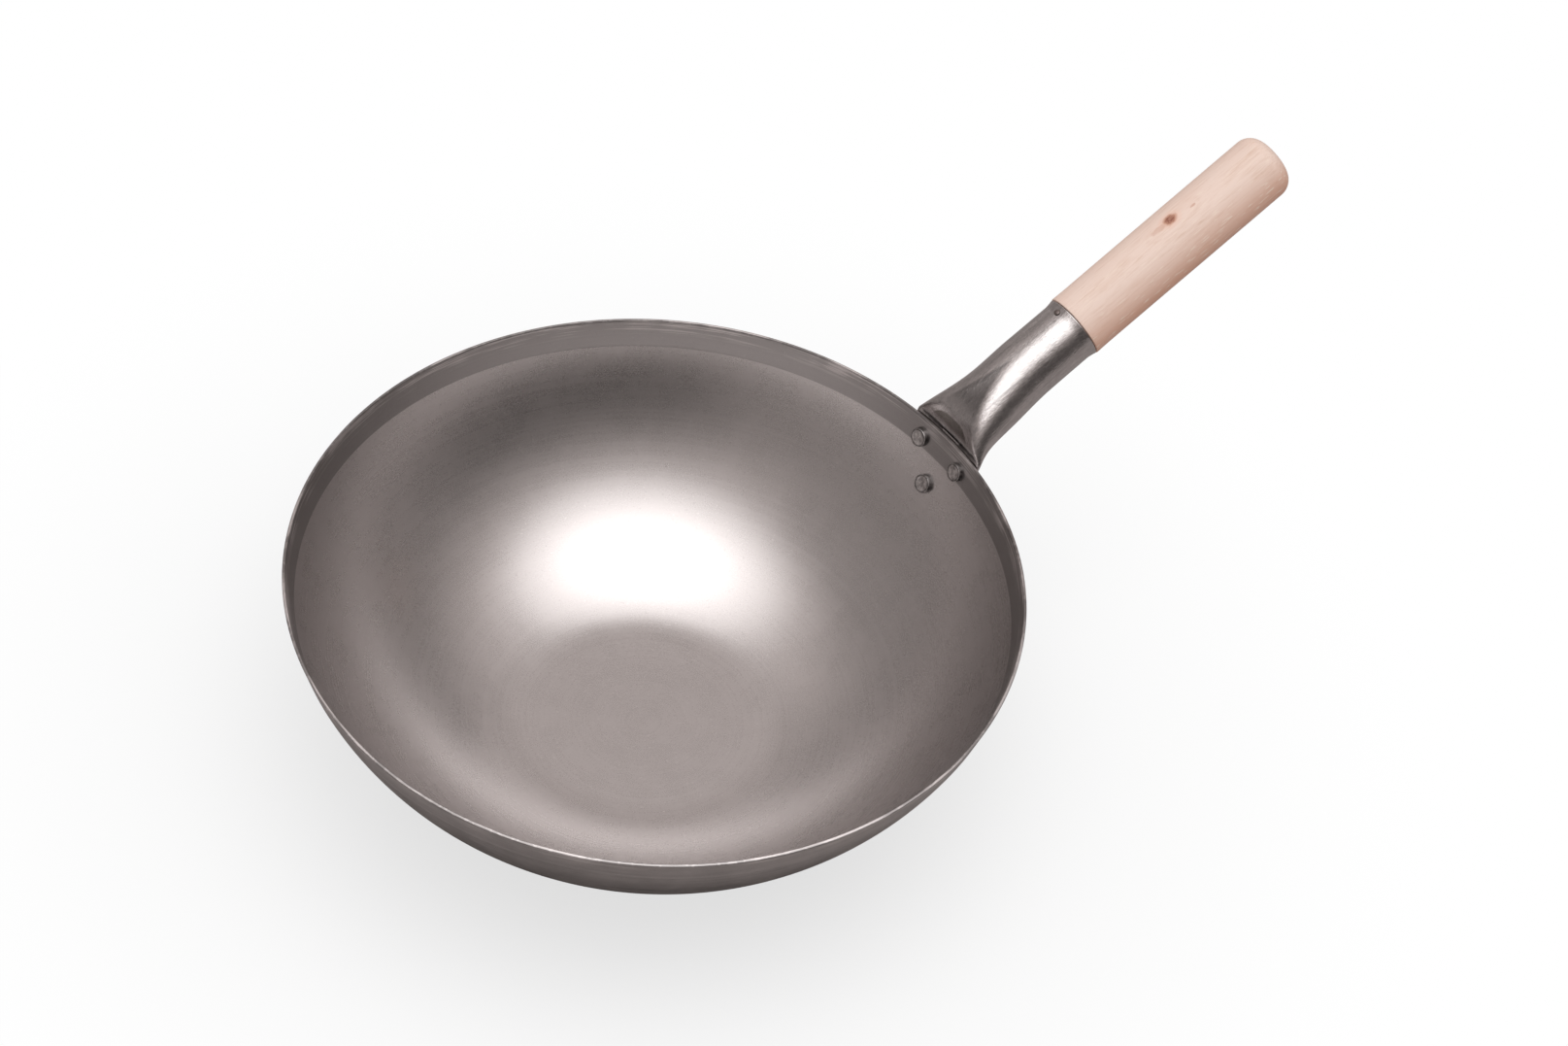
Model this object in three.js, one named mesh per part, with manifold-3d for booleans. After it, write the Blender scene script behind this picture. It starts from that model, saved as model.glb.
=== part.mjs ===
// A flat-based wok of bare carbon steel. A steel tube is squashed at one end into a tongue, and three
// rivets hold the tongue to the outside of the wall. A turned wooden grip is pushed into the open end
// of the tube and pinned there by one nail.
// Millimetres, +Z up. The origin is the centre of the underside, and the handle points along +X.
import * as THREE from 'three';
import { mergeVertices } from 'three/addons/utils/BufferGeometryUtils.js';
import Module from 'manifold-3d';

const wasm = await Module();
wasm.setup();
const { degToRad, smoothstep } = THREE.MathUtils;

// Bowl
const rimRadius = 180;
const bowlHeight = 108.7;
const bowlSheet = 1.5;
const flatBaseRadius = 57;
const baseCornerRadius = 50;
const wallStartSlope = degToRad(12.5);
const rimBandWidth = 15;
const rimBandSlope = degToRad(73);
const rimBandCrease = degToRad(4);

// Handle axis: its tilt, and its height over the rim where it passes the rim's radius
const handleTilt = degToRad(25.8);
const handleLift = 2.9;

// Socket tube and the tongue squashed from it
const socketRadius = 16.4;
const socketSheet = 1.2;
const socketReach = 83;
const mouthFlare = 0.8;
const mouthFlareLength = 5;
const mouthFlarePower = 1.5;
const tongueLength = 42;
const tongueTipLength = 20;
const bendReach = 27;
const squashFlatLength = 6.4;
const squashFadeLength = 15;
const dishDepth = 3.5;
const dishStart = 2;
const dishRiseLength = 18;
const dishFadeLength = 40;

// Wooden grip
const gripRadius = 17.5;
const gripLength = 136;
const gripEndRadius = 9;
const gripEndCrown = 1.5;
const gripShoulderChamfer = 0.6;
const tenonLength = 38;

// Rivets: two side by side below the rim, one below them
const rivetShankRadius = 2.5;
const rivetHeadRadius = 4.9;
const rivetHeadHeight = 2;
const rivetHeadEdge = 0.5;
const rivetTailRadius = 4.4;
const rivetTailHeight = 2.2;
const rivetPairSpacing = 29.5;
const rivetPairBelowRim = 11;
const rivetLowerBelowRim = 30.2;

// Nail that keeps the grip in the socket, a little off the handle's top line
const nailRadius = 1;
const nailLength = 15;
const nailHeadRadius = 1.7;
const nailHeadHeight = 0.7;
const nailFromMouth = 4;
const nailTurn = degToRad(10);

// Fits, and how finely curves are divided
const clearance = 0.35;
const cutOvershoot = 2;
const mergeDistance = 1e-4;
const bowlSegments = 80;
const wallSteps = 14;
const cornerSteps = 3;
const tipSteps = 6;
const tongueSteps = 2;
const flatSteps = 4;
const tubeSteps = 12;
const flareSteps = 3;
const ringPoints = 40;
const boreRingPoints = 32;
const gripSegments = 40;
const tenonSteps = 5;
const gripEndSteps = 5;
const smallRoundSegments = 20;
const domeSteps = 3;

// Finishes
const bowlFinish = { color: 0xa39996, roughness: 0.42, metalness: 1 };
const socketFinish = { color: 0xb5adab, roughness: 0.28, metalness: 1 };
const rivetFinish = { color: 0x8f8886, roughness: 0.35, metalness: 1 };
const nailFinish = { color: 0x6b6260, roughness: 0.45, metalness: 1 };
const woodFinish = { color: 0xe8c9b4, roughness: 0.6, metalness: 0 };

// Profile of the bowl's outer face, as radius and height

function along(angle, length = 1) {
  return new THREE.Vector2(Math.cos(angle), Math.sin(angle)).multiplyScalar(length);
}

// A smooth curve between two points with given end directions, close to an arc of a circle
function arcLikeCurve(start, startAngle, end, endAngle) {
  const turn = Math.abs(endAngle - startAngle);
  const radius = start.distanceTo(end) / (2 * Math.sin(turn / 2));
  const reach = radius * Math.tan(turn / 4) * 4 / 3;
  return new THREE.CubicBezierCurve(
    start,
    start.clone().add(along(startAngle, reach)),
    end.clone().sub(along(endAngle, reach)),
    end,
  );
}

const rimPoint = new THREE.Vector2(rimRadius, bowlHeight);
const creasePoint = rimPoint.clone().sub(along(rimBandSlope, rimBandWidth));
const cornerCurve = new THREE.EllipseCurve(
  flatBaseRadius, baseCornerRadius, baseCornerRadius, baseCornerRadius,
  -Math.PI / 2, wallStartSlope - Math.PI / 2,
);
const wallCurve = arcLikeCurve(
  cornerCurve.getPoint(1), wallStartSlope, creasePoint, rimBandSlope - rimBandCrease,
);
const bandCurve = new THREE.LineCurve(creasePoint, rimPoint);
const wallLength = wallCurve.getLength();

// A curve's point moved sideways, to the right of its direction
function offsetPoint(curve, fraction, distance) {
  const tangent = curve.getTangentAt(fraction);
  const outward = new THREE.Vector2(tangent.y, -tangent.x);
  return curve.getPointAt(fraction).addScaledVector(outward, distance);
}

// The wall at a distance below the rim, measured along it, on a surface outside the outer face
function wallStation(belowRim, outside) {
  const onBand = belowRim <= rimBandWidth;
  const curve = onBand ? bandCurve : wallCurve;
  const fraction = onBand ? 1 - belowRim / rimBandWidth : 1 - (belowRim - rimBandWidth) / wallLength;
  const tangent = curve.getTangentAt(fraction);
  return { point: offsetPoint(curve, fraction, outside), tangent, slope: tangent.angle() };
}

// Closed meshes, and joining and cutting them

function triangleVolume(position, a, b, c) {
  const corner = (index) => new THREE.Vector3().fromBufferAttribute(position, index);
  return corner(a).dot(corner(b).cross(corner(c))) / 6;
}

// Merges shared points, drops empty triangles and turns the faces outwards
function closed(geometry) {
  const bare = geometry.clone();
  bare.deleteAttribute('normal');
  bare.deleteAttribute('uv');
  const merged = mergeVertices(bare, mergeDistance);
  const position = merged.getAttribute('position');
  const corners = Array.from(merged.index.array);
  let triangles = [];
  for (let i = 0; i < corners.length; i += 3) {
    const [a, b, c] = corners.slice(i, i + 3);
    if (a !== b && b !== c && c !== a) triangles.push([a, b, c]);
  }
  const volume = triangles.reduce((sum, [a, b, c]) => sum + triangleVolume(position, a, b, c), 0);
  if (volume < 0) triangles = triangles.map(([a, b, c]) => [a, c, b]);
  merged.setIndex(triangles.flat());
  return merged;
}

function solid(geometry, matrix = new THREE.Matrix4()) {
  const placed = closed(geometry.clone().applyMatrix4(matrix));
  return new wasm.Manifold(new wasm.Mesh({
    numProp: 3,
    vertProperties: new Float32Array(placed.getAttribute('position').array),
    triVerts: new Uint32Array(placed.index.array),
  }));
}

function geometryOf(manifold) {
  const mesh = manifold.getMesh();
  const geometry = new THREE.BufferGeometry();
  geometry.setAttribute('position', new THREE.BufferAttribute(mesh.vertProperties, 3));
  geometry.setIndex(new THREE.BufferAttribute(mesh.triVerts, 1));
  return geometry;
}

function cut(body, tools) {
  return geometryOf(tools.reduce((rest, tool) => rest.subtract(tool), solid(body)));
}

// A turned piece: its profile is given as radius and height, and its axis is +Z
function turned(profile, segments) {
  return new THREE.LatheGeometry(profile, segments).rotateX(Math.PI / 2);
}

function profileOf(pairs) {
  return pairs.map(([radius, height]) => new THREE.Vector2(radius, height));
}

function rod(radius, from, to) {
  return turned(profileOf([[0, from], [radius, from], [radius, to], [0, to]]), smallRoundSegments);
}

// A low dome's profile, from its edge to its top on the axis, upwards or downwards
function dome(radius, base, rise) {
  return evenSteps(0, Math.PI / 2, domeSteps)
    .map((turn) => [radius * Math.cos(turn), base + rise * Math.sin(turn)])
    .concat([[0, base + rise]]);
}

function evenSteps(from, to, steps) {
  return Array.from({ length: steps }, (_, k) => from + (to - from) * k / steps);
}

// A skin over rings of points, closed at both ends
function loft(rings) {
  const count = rings[0].length;
  const centres = [rings[0], rings.at(-1)].map((ring) =>
    ring.reduce((sum, point) => sum.add(point), new THREE.Vector3()).divideScalar(count));
  const points = [...rings.flat(), ...centres];
  const firstCentre = rings.length * count;
  const faces = [];
  for (let i = 0; i < count; i += 1) {
    const next = (i + 1) % count;
    for (let k = 0; k + 1 < rings.length; k += 1) {
      const near = k * count;
      const far = near + count;
      faces.push(near + i, near + next, far + i, far + i, near + next, far + next);
    }
    const last = (rings.length - 1) * count;
    faces.push(firstCentre, next, i, firstCentre + 1, last + i, last + next);
  }
  const geometry = new THREE.BufferGeometry().setFromPoints(points);
  geometry.setIndex(faces);
  return geometry;
}

// Places of the rivets. In a rivet's own frame +Z points into the bowl, and z = 0 is the wall's outer face.

function rivetGroup(belowRim, sideways) {
  const { point, slope } = wallStation(belowRim, 0);
  const around = new THREE.Group();
  around.rotation.z = sideways / point.x;
  const seat = new THREE.Group();
  seat.position.set(point.x, 0, point.y);
  seat.rotation.y = -slope;
  around.add(seat);
  around.updateMatrixWorld(true);
  return { around, seat };
}

const rivets = [
  { name: 'rivet_upper_left', ...rivetGroup(rivetPairBelowRim, rivetPairSpacing / 2) },
  { name: 'rivet_upper_right', ...rivetGroup(rivetPairBelowRim, -rivetPairSpacing / 2) },
  { name: 'rivet_lower', ...rivetGroup(rivetLowerBelowRim, 0) },
];
const headSeat = bowlSheet + clearance;
const tongueDepth = clearance + 2 * socketSheet;
const tailSeat = -(tongueDepth + clearance);
const rivetHole = rod(rivetShankRadius + clearance, tailSeat - cutOvershoot, headSeat + cutOvershoot);
const rivetHoles = rivets.map(({ seat }) => solid(rivetHole, seat.matrixWorld));

// A flat head inside the bowl, and a tail hammered to a dome outside
function makeRivet() {
  const profile = [
    ...dome(rivetTailRadius, tailSeat, -rivetTailHeight).reverse(),
    [rivetShankRadius, tailSeat],
    [rivetShankRadius, headSeat],
    [rivetHeadRadius, headSeat],
    [rivetHeadRadius, headSeat + rivetHeadHeight - rivetHeadEdge],
    [rivetHeadRadius - rivetHeadEdge, headSeat + rivetHeadHeight],
    [0, headSeat + rivetHeadHeight],
  ];
  return turned(profileOf(profile), smallRoundSegments);
}

// Bowl: the outer profile up to the rim and the inner one back down, turned about the axis

function makeBowl() {
  const curves = [[cornerCurve, cornerSteps], [wallCurve, wallSteps], [bandCurve, 1]];
  const face = (outside) => curves.flatMap(([curve, steps], index) =>
    Array.from({ length: index === 0 ? steps + 1 : steps }, (_, k) =>
      offsetPoint(curve, (index === 0 ? k : k + 1) / steps, outside)));
  const outer = face(0);
  const inner = face(-bowlSheet);
  inner.at(-1).set(rimRadius - bowlSheet / Math.sin(rimBandSlope), bowlHeight);
  const profile = [
    new THREE.Vector2(0, 0), ...outer, ...inner.reverse(), new THREE.Vector2(0, bowlSheet),
  ];
  return cut(turned(profile, bowlSegments), rivetHoles);
}

// Socket: the spine runs up the wall, bends over and goes straight along the handle axis

const axisOrigin = new THREE.Vector2(rimRadius, bowlHeight + handleLift);
const axisPoint = (distance) => axisOrigin.clone().add(along(handleTilt, distance));
// The tongue lies on the wall up to the top of the upper rivets' tails, and leaves it there
const tongueSeat = rivetPairBelowRim - rivetTailRadius;
const tongueMiddle = clearance + socketSheet;
const seatStation = wallStation(tongueSeat, tongueMiddle);
const bendCurve = arcLikeCurve(seatStation.point, seatStation.slope, axisPoint(bendReach), handleTilt);
const bendLength = bendCurve.getLength();
const mouthDistance = bendLength + socketReach - bendReach;
const flatHalfLength = (socketRadius - socketSheet) * Math.PI / 2;

// The spine at a distance from the seat: below it the tongue on the wall, above it the bend and the tube
function spineStation(distance) {
  if (distance <= 0) return wallStation(tongueSeat - distance, tongueMiddle);
  if (distance < bendLength) {
    const fraction = distance / bendLength;
    return { point: bendCurve.getPointAt(fraction), tangent: bendCurve.getTangentAt(fraction) };
  }
  return { point: axisPoint(bendReach + distance - bendLength), tangent: along(handleTilt) };
}

// Half the height of the squashed tube, which opens from two layers of sheet to the full round
function halfHeight(distance) {
  const opened = Math.max(0, distance - squashFlatLength) / squashFadeLength;
  return socketRadius - (socketRadius - socketSheet) * Math.exp(-opened);
}

function flareAt(distance) {
  const share = 1 - (mouthDistance - distance) / mouthFlareLength;
  return mouthFlare * Math.max(0, share) ** mouthFlarePower;
}

// The section's middle line curls towards the bowl: as much as the wall does on the tongue, more above
function sectionCurl(distance) {
  const dishEnd = dishStart + dishRiseLength;
  const fade = 1 - smoothstep(distance, dishEnd, dishEnd + dishFadeLength);
  const dish = dishDepth * smoothstep(distance, dishStart, dishEnd);
  const wallCurl = Math.sin(rimBandSlope) / rimRadius;
  return fade * (wallCurl + 2 * dish / flatHalfLength ** 2);
}

// The tongue's tip is trimmed round
function tipShare(distance) {
  const fromTip = distance + tongueLength - tongueSeat;
  const share = 1 - Math.min(1, fromTip / tongueTipLength);
  return Math.sqrt(1 - share * share);
}

// One closed ring: the outline of a bent strip with round edges, of the tube's girth, shrunk by an inset.
// A point's place round the ring is a share of the girth, so the points follow the sheet as it opens.
function sectionRing(distance, inset, count) {
  const { point, tangent } = spineStation(distance);
  const curl = sectionCurl(distance);
  const halfLength = tipShare(distance) * (socketRadius - halfHeight(distance)) * Math.PI / 2;
  const half = halfHeight(distance) + flareAt(distance) - inset;
  const edge = Math.PI * half;
  return Array.from({ length: count }, (_, k) => {
    const travel = (k / count) * (4 * halfLength + 2 * edge);
    let across = 0;
    let turn = 0;
    if (travel < halfLength) {
      across = travel;
    } else if (travel < halfLength + edge) {
      across = halfLength;
      turn = (travel - halfLength) / half;
    } else if (travel < 3 * halfLength + edge) {
      across = 2 * halfLength + edge - travel;
      turn = Math.PI;
    } else if (travel < 3 * halfLength + 2 * edge) {
      across = -halfLength;
      turn = (travel - 3 * halfLength) / half;
    } else {
      across = travel - 4 * halfLength - 2 * edge;
    }
    const bent = across * curl;
    const middle = curl > 0 ? Math.sin(bent) / curl : across;
    const rise = curl > 0 ? (1 - Math.cos(bent)) / curl : 0;
    const sideways = middle + half * Math.sin(turn - bent);
    const up = rise + half * Math.cos(turn - bent);
    return new THREE.Vector3(point.x - up * tangent.y, sideways, point.y + up * tangent.x);
  });
}

function makeSocket() {
  const tip = tongueSeat - tongueLength;
  const roundTip = evenSteps(Math.PI / 2 / tipSteps, Math.PI / 2, tipSteps)
    .map((turn) => tip + tongueTipLength * (1 - Math.cos(turn)));
  const tube = [
    ...evenSteps(0, squashFlatLength, flatSteps),
    ...evenSteps(squashFlatLength, mouthDistance - mouthFlareLength, tubeSteps),
    ...evenSteps(mouthDistance - mouthFlareLength, mouthDistance, flareSteps),
    mouthDistance,
  ];
  const distances = [...roundTip, ...evenSteps(tip + tongueTipLength, 0, tongueSteps), ...tube];
  const skin = loft(distances.map((distance) => sectionRing(distance, 0, ringPoints)));
  const open = tube.filter((distance) => halfHeight(distance) - socketSheet > clearance);
  const boreRings = open.map((distance) => sectionRing(distance, socketSheet, boreRingPoints));
  const beyond = along(handleTilt, cutOvershoot);
  boreRings.push(boreRings.at(-1).map(({ x, y, z }) => new THREE.Vector3(x + beyond.x, y, z + beyond.y)));
  return cut(skin, [solid(loft(boreRings)), ...rivetHoles, solid(nailHole, nailSeat.matrixWorld)]);
}

// Grip and nail, in the handle's own frame: +Z runs out along the handle from the mouth, -X is its top

const handle = new THREE.Group();
const mouthPoint = axisPoint(socketReach);
handle.position.set(mouthPoint.x, 0, mouthPoint.y);
handle.rotation.y = Math.PI / 2 - handleTilt;

// The nail's +Z points out of the handle, and z = 0 is the outside of the socket
const nailSeat = new THREE.Group();
const nailTurner = new THREE.Group();
nailTurner.rotation.z = -nailTurn;
nailSeat.position.set(-socketRadius - flareAt(mouthDistance - nailFromMouth), 0, -nailFromMouth);
nailSeat.rotation.y = -Math.PI / 2;
nailTurner.add(nailSeat);
handle.add(nailTurner);
handle.updateMatrixWorld(true);
const nailHole = rod(nailRadius + clearance, -nailLength - clearance, cutOvershoot);

// The tenon is whittled to the bore all the way in, and the shoulder rests against the mouth
function makeGrip() {
  const tenonRadius = (z) => halfHeight(mouthDistance + z) - socketSheet - clearance;
  const crownBase = gripLength - gripEndCrown;
  const roundEnd = [...evenSteps(0, Math.PI / 2, gripEndSteps), Math.PI / 2].map((turn) => [
    gripRadius - gripEndRadius * (1 - Math.cos(turn)),
    crownBase - gripEndRadius * (1 - Math.sin(turn)),
  ]);
  const profile = [
    [0, -tenonLength],
    ...evenSteps(-tenonLength, 0, tenonSteps).map((z) => [tenonRadius(z), z]),
    [tenonRadius(0), clearance],
    [gripRadius - gripShoulderChamfer, clearance],
    [gripRadius, clearance + gripShoulderChamfer],
    ...roundEnd,
    [0, gripLength],
  ];
  const toHandle = handle.matrixWorld.clone().invert().multiply(nailSeat.matrixWorld);
  return cut(turned(profileOf(profile), gripSegments), [solid(nailHole, toHandle)]);
}

function makeNail() {
  const profile = [
    [0, -nailLength],
    [nailRadius, nailRadius - nailLength],
    [nailRadius, clearance],
    ...dome(nailHeadRadius, clearance, nailHeadHeight),
  ];
  return turned(profileOf(profile), smallRoundSegments);
}

// Assembly

function part(name, geometry, finish) {
  const mesh = new THREE.Mesh(geometry, new THREE.MeshStandardMaterial(finish));
  mesh.name = name;
  return mesh;
}

const wok = new THREE.Group();
wok.add(part('wok_bowl', makeBowl(), bowlFinish));
wok.add(part('handle_socket', makeSocket(), socketFinish));
handle.add(part('wood_grip', closed(makeGrip()), woodFinish));
nailSeat.add(part('grip_nail', closed(makeNail()), nailFinish));
for (const { name, around, seat } of rivets) {
  seat.add(part(name, closed(makeRivet()), rivetFinish));
  wok.add(around);
}
wok.add(handle);

export default wok;
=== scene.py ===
"""Looks of a flat-based wok of bare carbon steel with a riveted tube socket and a wooden grip.

Laid out as an add-on and run as a script. Metres, +Z up. The origin is the centre of the underside, and
the handle points along +X.
"""
import math

import bmesh
import bpy
import numpy as np
from bpy.props import FloatProperty, FloatVectorProperty, IntProperty, PointerProperty
from mathutils import Matrix, Vector


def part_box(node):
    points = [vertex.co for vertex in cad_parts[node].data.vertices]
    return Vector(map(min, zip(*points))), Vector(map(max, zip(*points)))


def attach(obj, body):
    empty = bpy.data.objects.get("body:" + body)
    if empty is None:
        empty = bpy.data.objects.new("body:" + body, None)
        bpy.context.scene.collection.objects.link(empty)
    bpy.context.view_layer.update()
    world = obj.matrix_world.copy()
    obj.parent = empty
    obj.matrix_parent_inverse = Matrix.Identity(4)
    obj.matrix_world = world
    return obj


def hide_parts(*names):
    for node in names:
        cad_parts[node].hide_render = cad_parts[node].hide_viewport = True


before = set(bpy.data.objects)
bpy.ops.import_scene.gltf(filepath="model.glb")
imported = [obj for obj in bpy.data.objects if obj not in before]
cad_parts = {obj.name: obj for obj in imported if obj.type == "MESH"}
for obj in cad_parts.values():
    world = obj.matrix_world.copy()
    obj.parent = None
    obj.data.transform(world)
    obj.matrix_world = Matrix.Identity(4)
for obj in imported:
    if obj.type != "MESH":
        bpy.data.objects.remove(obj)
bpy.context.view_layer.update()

bl_info = {
    "name": "Carbon steel wok",
    "version": (1, 0, 0),
    "blender": (4, 5, 0),
    "location": "3D View > Sidebar > Wok",
    "description": "Dresses the packed wok with fine meshes and finishes, and sets up its studio",
    "category": "Add Mesh",
}

MM = 0.001
BODY = "root"
PHOTO_WIDTH = 1615
QUARTER_TURN = math.pi / 2
BLACK = (0, 0, 0, 1)
WHITE = (1, 1, 1, 1)


def mm(*values):
    """Lengths in metres, from millimetres."""
    return tuple(value * MM for value in values)


# Properties that a user would change

def length(name, description, default):
    return FloatProperty(name=name, description=description, default=default, unit="LENGTH",
                         subtype="DISTANCE", precision=5)


def turn(name, description, degrees):
    return FloatProperty(name=name, description=description, default=math.radians(degrees),
                         unit="ROTATION", subtype="ANGLE")


def number(name, description, default):
    return FloatProperty(name=name, description=description, default=default)


def share(name, description, default):
    return FloatProperty(name=name, description=description, default=default, min=0, max=1,
                         subtype="FACTOR")


def count(name, description, default):
    return IntProperty(name=name, description=description, default=default, min=3)


def colour(name, description, default):
    return FloatVectorProperty(name=name, description=description, default=default, size=3, min=0, max=1,
                               subtype="COLOR")


bowl_low, bowl_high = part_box("wok_bowl")


class WokBowl(bpy.types.PropertyGroup):
    """Sizes of the pressed bowl."""
    rim_radius: length("Rim radius", "Outer radius of the rim", bowl_high.y)
    height: length("Height", "From the underside to the rim", bowl_high.z - bowl_low.z)
    sheet: length("Sheet", "Thickness of the bowl's sheet", 1.5 * MM)
    flat_radius: length("Flat radius", "Radius of the flat underside", 54 * MM)
    corner_radius: length("Corner radius", "Bend between the flat base and the wall", 75 * MM)
    start_slope: turn("Start slope", "Slope of the wall where it leaves the base", 14.05)
    band_width: length("Band width", "Straight band below the rim", 15 * MM)
    band_slope: turn("Band slope", "Slope of the straight band", 73)
    band_crease: turn("Band crease", "Turn of the wall at the band's lower edge", 4)
    edge_round: length("Edge round", "Rounding of the two corners of the cut rim edge", 0.35 * MM)
    crease_blend: length("Crease blend", "Distance over which the crease is rounded", 0.7 * MM)
    waviness: length("Waviness", "How far the pressed wall strays from a true round", 0.07 * MM)
    segments: count("Segments", "Facets round the bowl", 240)


class WokSocket(bpy.types.PropertyGroup):
    """Sizes of the steel tube and of the tongue that is squashed from it."""
    tilt: turn("Tilt", "Rise of the handle", 25.8)
    lift: length("Lift", "Height of the handle's axis over the rim at the rim's radius", 2.9 * MM)
    radius: length("Radius", "Outer radius of the round tube", 16.4 * MM)
    sheet: length("Sheet", "Thickness of the tube's sheet", 1.2 * MM)
    reach: length("Reach", "From the rim's radius to the mouth, along the axis", 83 * MM)
    flare: length("Flare", "How far the mouth opens out", 0.8 * MM)
    flare_length: length("Flare length", "Length of the opened mouth", 5 * MM)
    flare_power: number("Flare power", "How late the mouth opens", 1.5)
    lip: length("Lip", "Rounding of the mouth's edge", 0.4 * MM)
    tongue: length("Tongue", "Length of the flat tongue", 42 * MM)
    tip: length("Tip", "Length of the tongue's rounded tip", 20 * MM)
    bend: length("Bend", "Where the spine meets the handle's axis", 27 * MM)
    flat: length("Flat", "Length that stays flat above the seat", 6.4 * MM)
    fade: length("Fade", "Length over which the flat opens to the round", 15 * MM)
    dish: length("Dish", "Depth of the hollow above the rim", 3.5 * MM)
    dish_start: length("Dish start", "Where the hollow starts", 2 * MM)
    dish_rise: length("Dish rise", "Length over which the hollow deepens", 18 * MM)
    dish_fade: length("Dish fade", "Length over which the hollow runs out", 40 * MM)
    sway: length("Sway", "How far the neck strays to the right above the rim", 1.3 * MM)
    sway_start: length("Sway start", "Where the neck starts to stray", 2 * MM)
    sway_end: length("Sway end", "Where the neck is back on the axis", 60 * MM)
    layer_groove: length("Layer groove", "Depth of the groove between the two layers at the tip", 0.45 * MM)
    clearance: length("Clearance", "Gap that touching pieces keep", 0.35 * MM)
    ring_points: count("Ring points", "Points round the tube", 128)


class WokGrip(bpy.types.PropertyGroup):
    """Sizes of the turned wooden grip."""
    radius: length("Radius", "Radius of the grip", 17.5 * MM)
    length: length("Length", "From the mouth to the end of the grip", 136 * MM)
    end_radius: length("End radius", "Rounding of the free end", 9 * MM)
    end_crown: length("End crown", "Rise of the middle of the free end", 1.5 * MM)
    chamfer: length("Chamfer", "Broken edge of the shoulder", 0.6 * MM)
    tenon: length("Tenon", "Length inside the socket", 38 * MM)
    unevenness: length("Unevenness", "How far the hand-finished grip strays from a true round", 0.15 * MM)
    knot_place: length("Knot place", "Distance of the knot from the mouth", 70 * MM)
    knot_turn: turn("Knot turn", "Place of the knot round the grip, from its top", 3)
    knot_radius: length("Knot radius", "Radius of the knot", 3.1 * MM)
    segments: count("Segments", "Facets round the grip", 96)


class WokFasteners(bpy.types.PropertyGroup):
    """Sizes of the three rivets and of the nail."""
    shank: length("Shank", "Radius of a rivet's shank", 2.5 * MM)
    head: length("Head", "Radius of a rivet's flat head", 4.9 * MM)
    head_height: length("Head height", "Height of a rivet's flat head", 2 * MM)
    head_edge: length("Head edge", "Rounding of the flat head", 0.5 * MM)
    tail: length("Tail", "Radius of a rivet's hammered tail", 4.4 * MM)
    tail_height: length("Tail height", "Height of a rivet's hammered tail", 2.2 * MM)
    pair_spacing: length("Pair spacing", "Between the two upper rivets", 29.5 * MM)
    pair_drop: length("Pair drop", "Upper rivets below the rim, along the wall", 11 * MM)
    lower_drop: length("Lower drop", "Lower rivet below the rim, along the wall", 30.2 * MM)
    dent: length("Dent", "Depth of the hammer's marks", 0.22 * MM)
    seat_gap: length("Seat gap", "Gap under a rivet's head", 0.05 * MM)
    nail: length("Nail", "Radius of the nail", 1 * MM)
    nail_length: length("Nail length", "Length of the nail", 15 * MM)
    nail_head: length("Nail head", "Radius of the nail's head", 1.7 * MM)
    nail_head_height: length("Nail head height", "Rise of the nail's head", 0.7 * MM)
    nail_place: length("Nail place", "Distance of the nail from the mouth", 4 * MM)
    nail_turn: turn("Nail turn", "Place of the nail round the handle, from its top", 10)
    segments: count("Segments", "Facets round a rivet or the nail", 48)


class WokFinish(bpy.types.PropertyGroup):
    """Colours and sheen of the materials."""
    bowl: colour("Bowl", "Bare steel of the bowl", (0.545, 0.52, 0.515))
    # The band's darkening is partly a different rolled finish and partly painted shade for the dark
    # surroundings it mirrors
    band_dull_and_shade: share("Dull band and shade", "How much darker the rim band is", 0.4)
    # The outside's darkening is partly a duller finish and partly painted shade for the dark floor it
    # mirrors
    outside_dull_and_shade: share("Dull and shaded outside", "How much darker the outside is", 0.11)
    # The cut edge's darkening between its nicks is painted shade, which damps the edge's bright reflection
    edge_shade: share("Edge shade", "How much darker the rim's cut edge is between its nicks", 0.25)
    bowl_sheen: share("Bowl roughness", "Roughness of the bowl", 0.28)
    socket: colour("Socket", "Brushed steel of the socket", (0.56, 0.535, 0.53))
    # The hollow's darkening is painted shade, standing in for the dark surroundings that the hollow mirrors
    hollow_shade: share("Hollow painted shade", "How much darker the socket's hollow is", 0.5)
    # The next colour and its cover paint a dark reflection and shade on the socket's bend over the rim
    bend_shade: colour("Bend shade", "Painted dark reflection and shade on the socket's bend over the rim", (0.05, 0.038, 0.024))
    bend_shade_cover: share("Bend shade cover", "How much of the steel the painted dark reflection hides", 0.66)
    socket_sheen: share("Socket roughness", "Roughness of the socket", 0.17)
    rivet: colour("Rivets", "Hammered steel of the rivets", (0.45, 0.43, 0.425))
    rivet_sheen: share("Rivet roughness", "Roughness of the rivets", 0.36)
    # The nail's dark colour stands partly for the shade of the dimple round its head, as painted shade
    nail: colour("Nail", "Dark steel and painted shade of the nail", (0.2, 0.17, 0.16))
    wood: colour("Wood", "Pale raw wood", (0.875, 0.68, 0.59))
    wood_late: colour("Late wood", "Darker lines of the grain", (0.69, 0.46, 0.345))
    # This browner colour on the grip's lower right side is partly brown streaks and partly painted shade
    wood_warm_and_shade: colour("Warm wood and shade", "Browner wood and painted shade on the grip's right side", (0.79, 0.44, 0.31))
    wood_blush: colour("Pink wood", "Pinker wood of the grip's top and left side", (0.86, 0.62, 0.52))
    wood_light: colour("Light fibres", "Raised pale fibres", (0.93, 0.755, 0.64))
    knot_halo: colour("Knot halo", "Pink wood round the knot", (0.86, 0.5, 0.37))
    knot: colour("Knot", "Heart of the knot", (0.26, 0.09, 0.06))
    knot_rim: colour("Knot rim", "Stained wood round the knot", (0.6, 0.31, 0.21))


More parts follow.
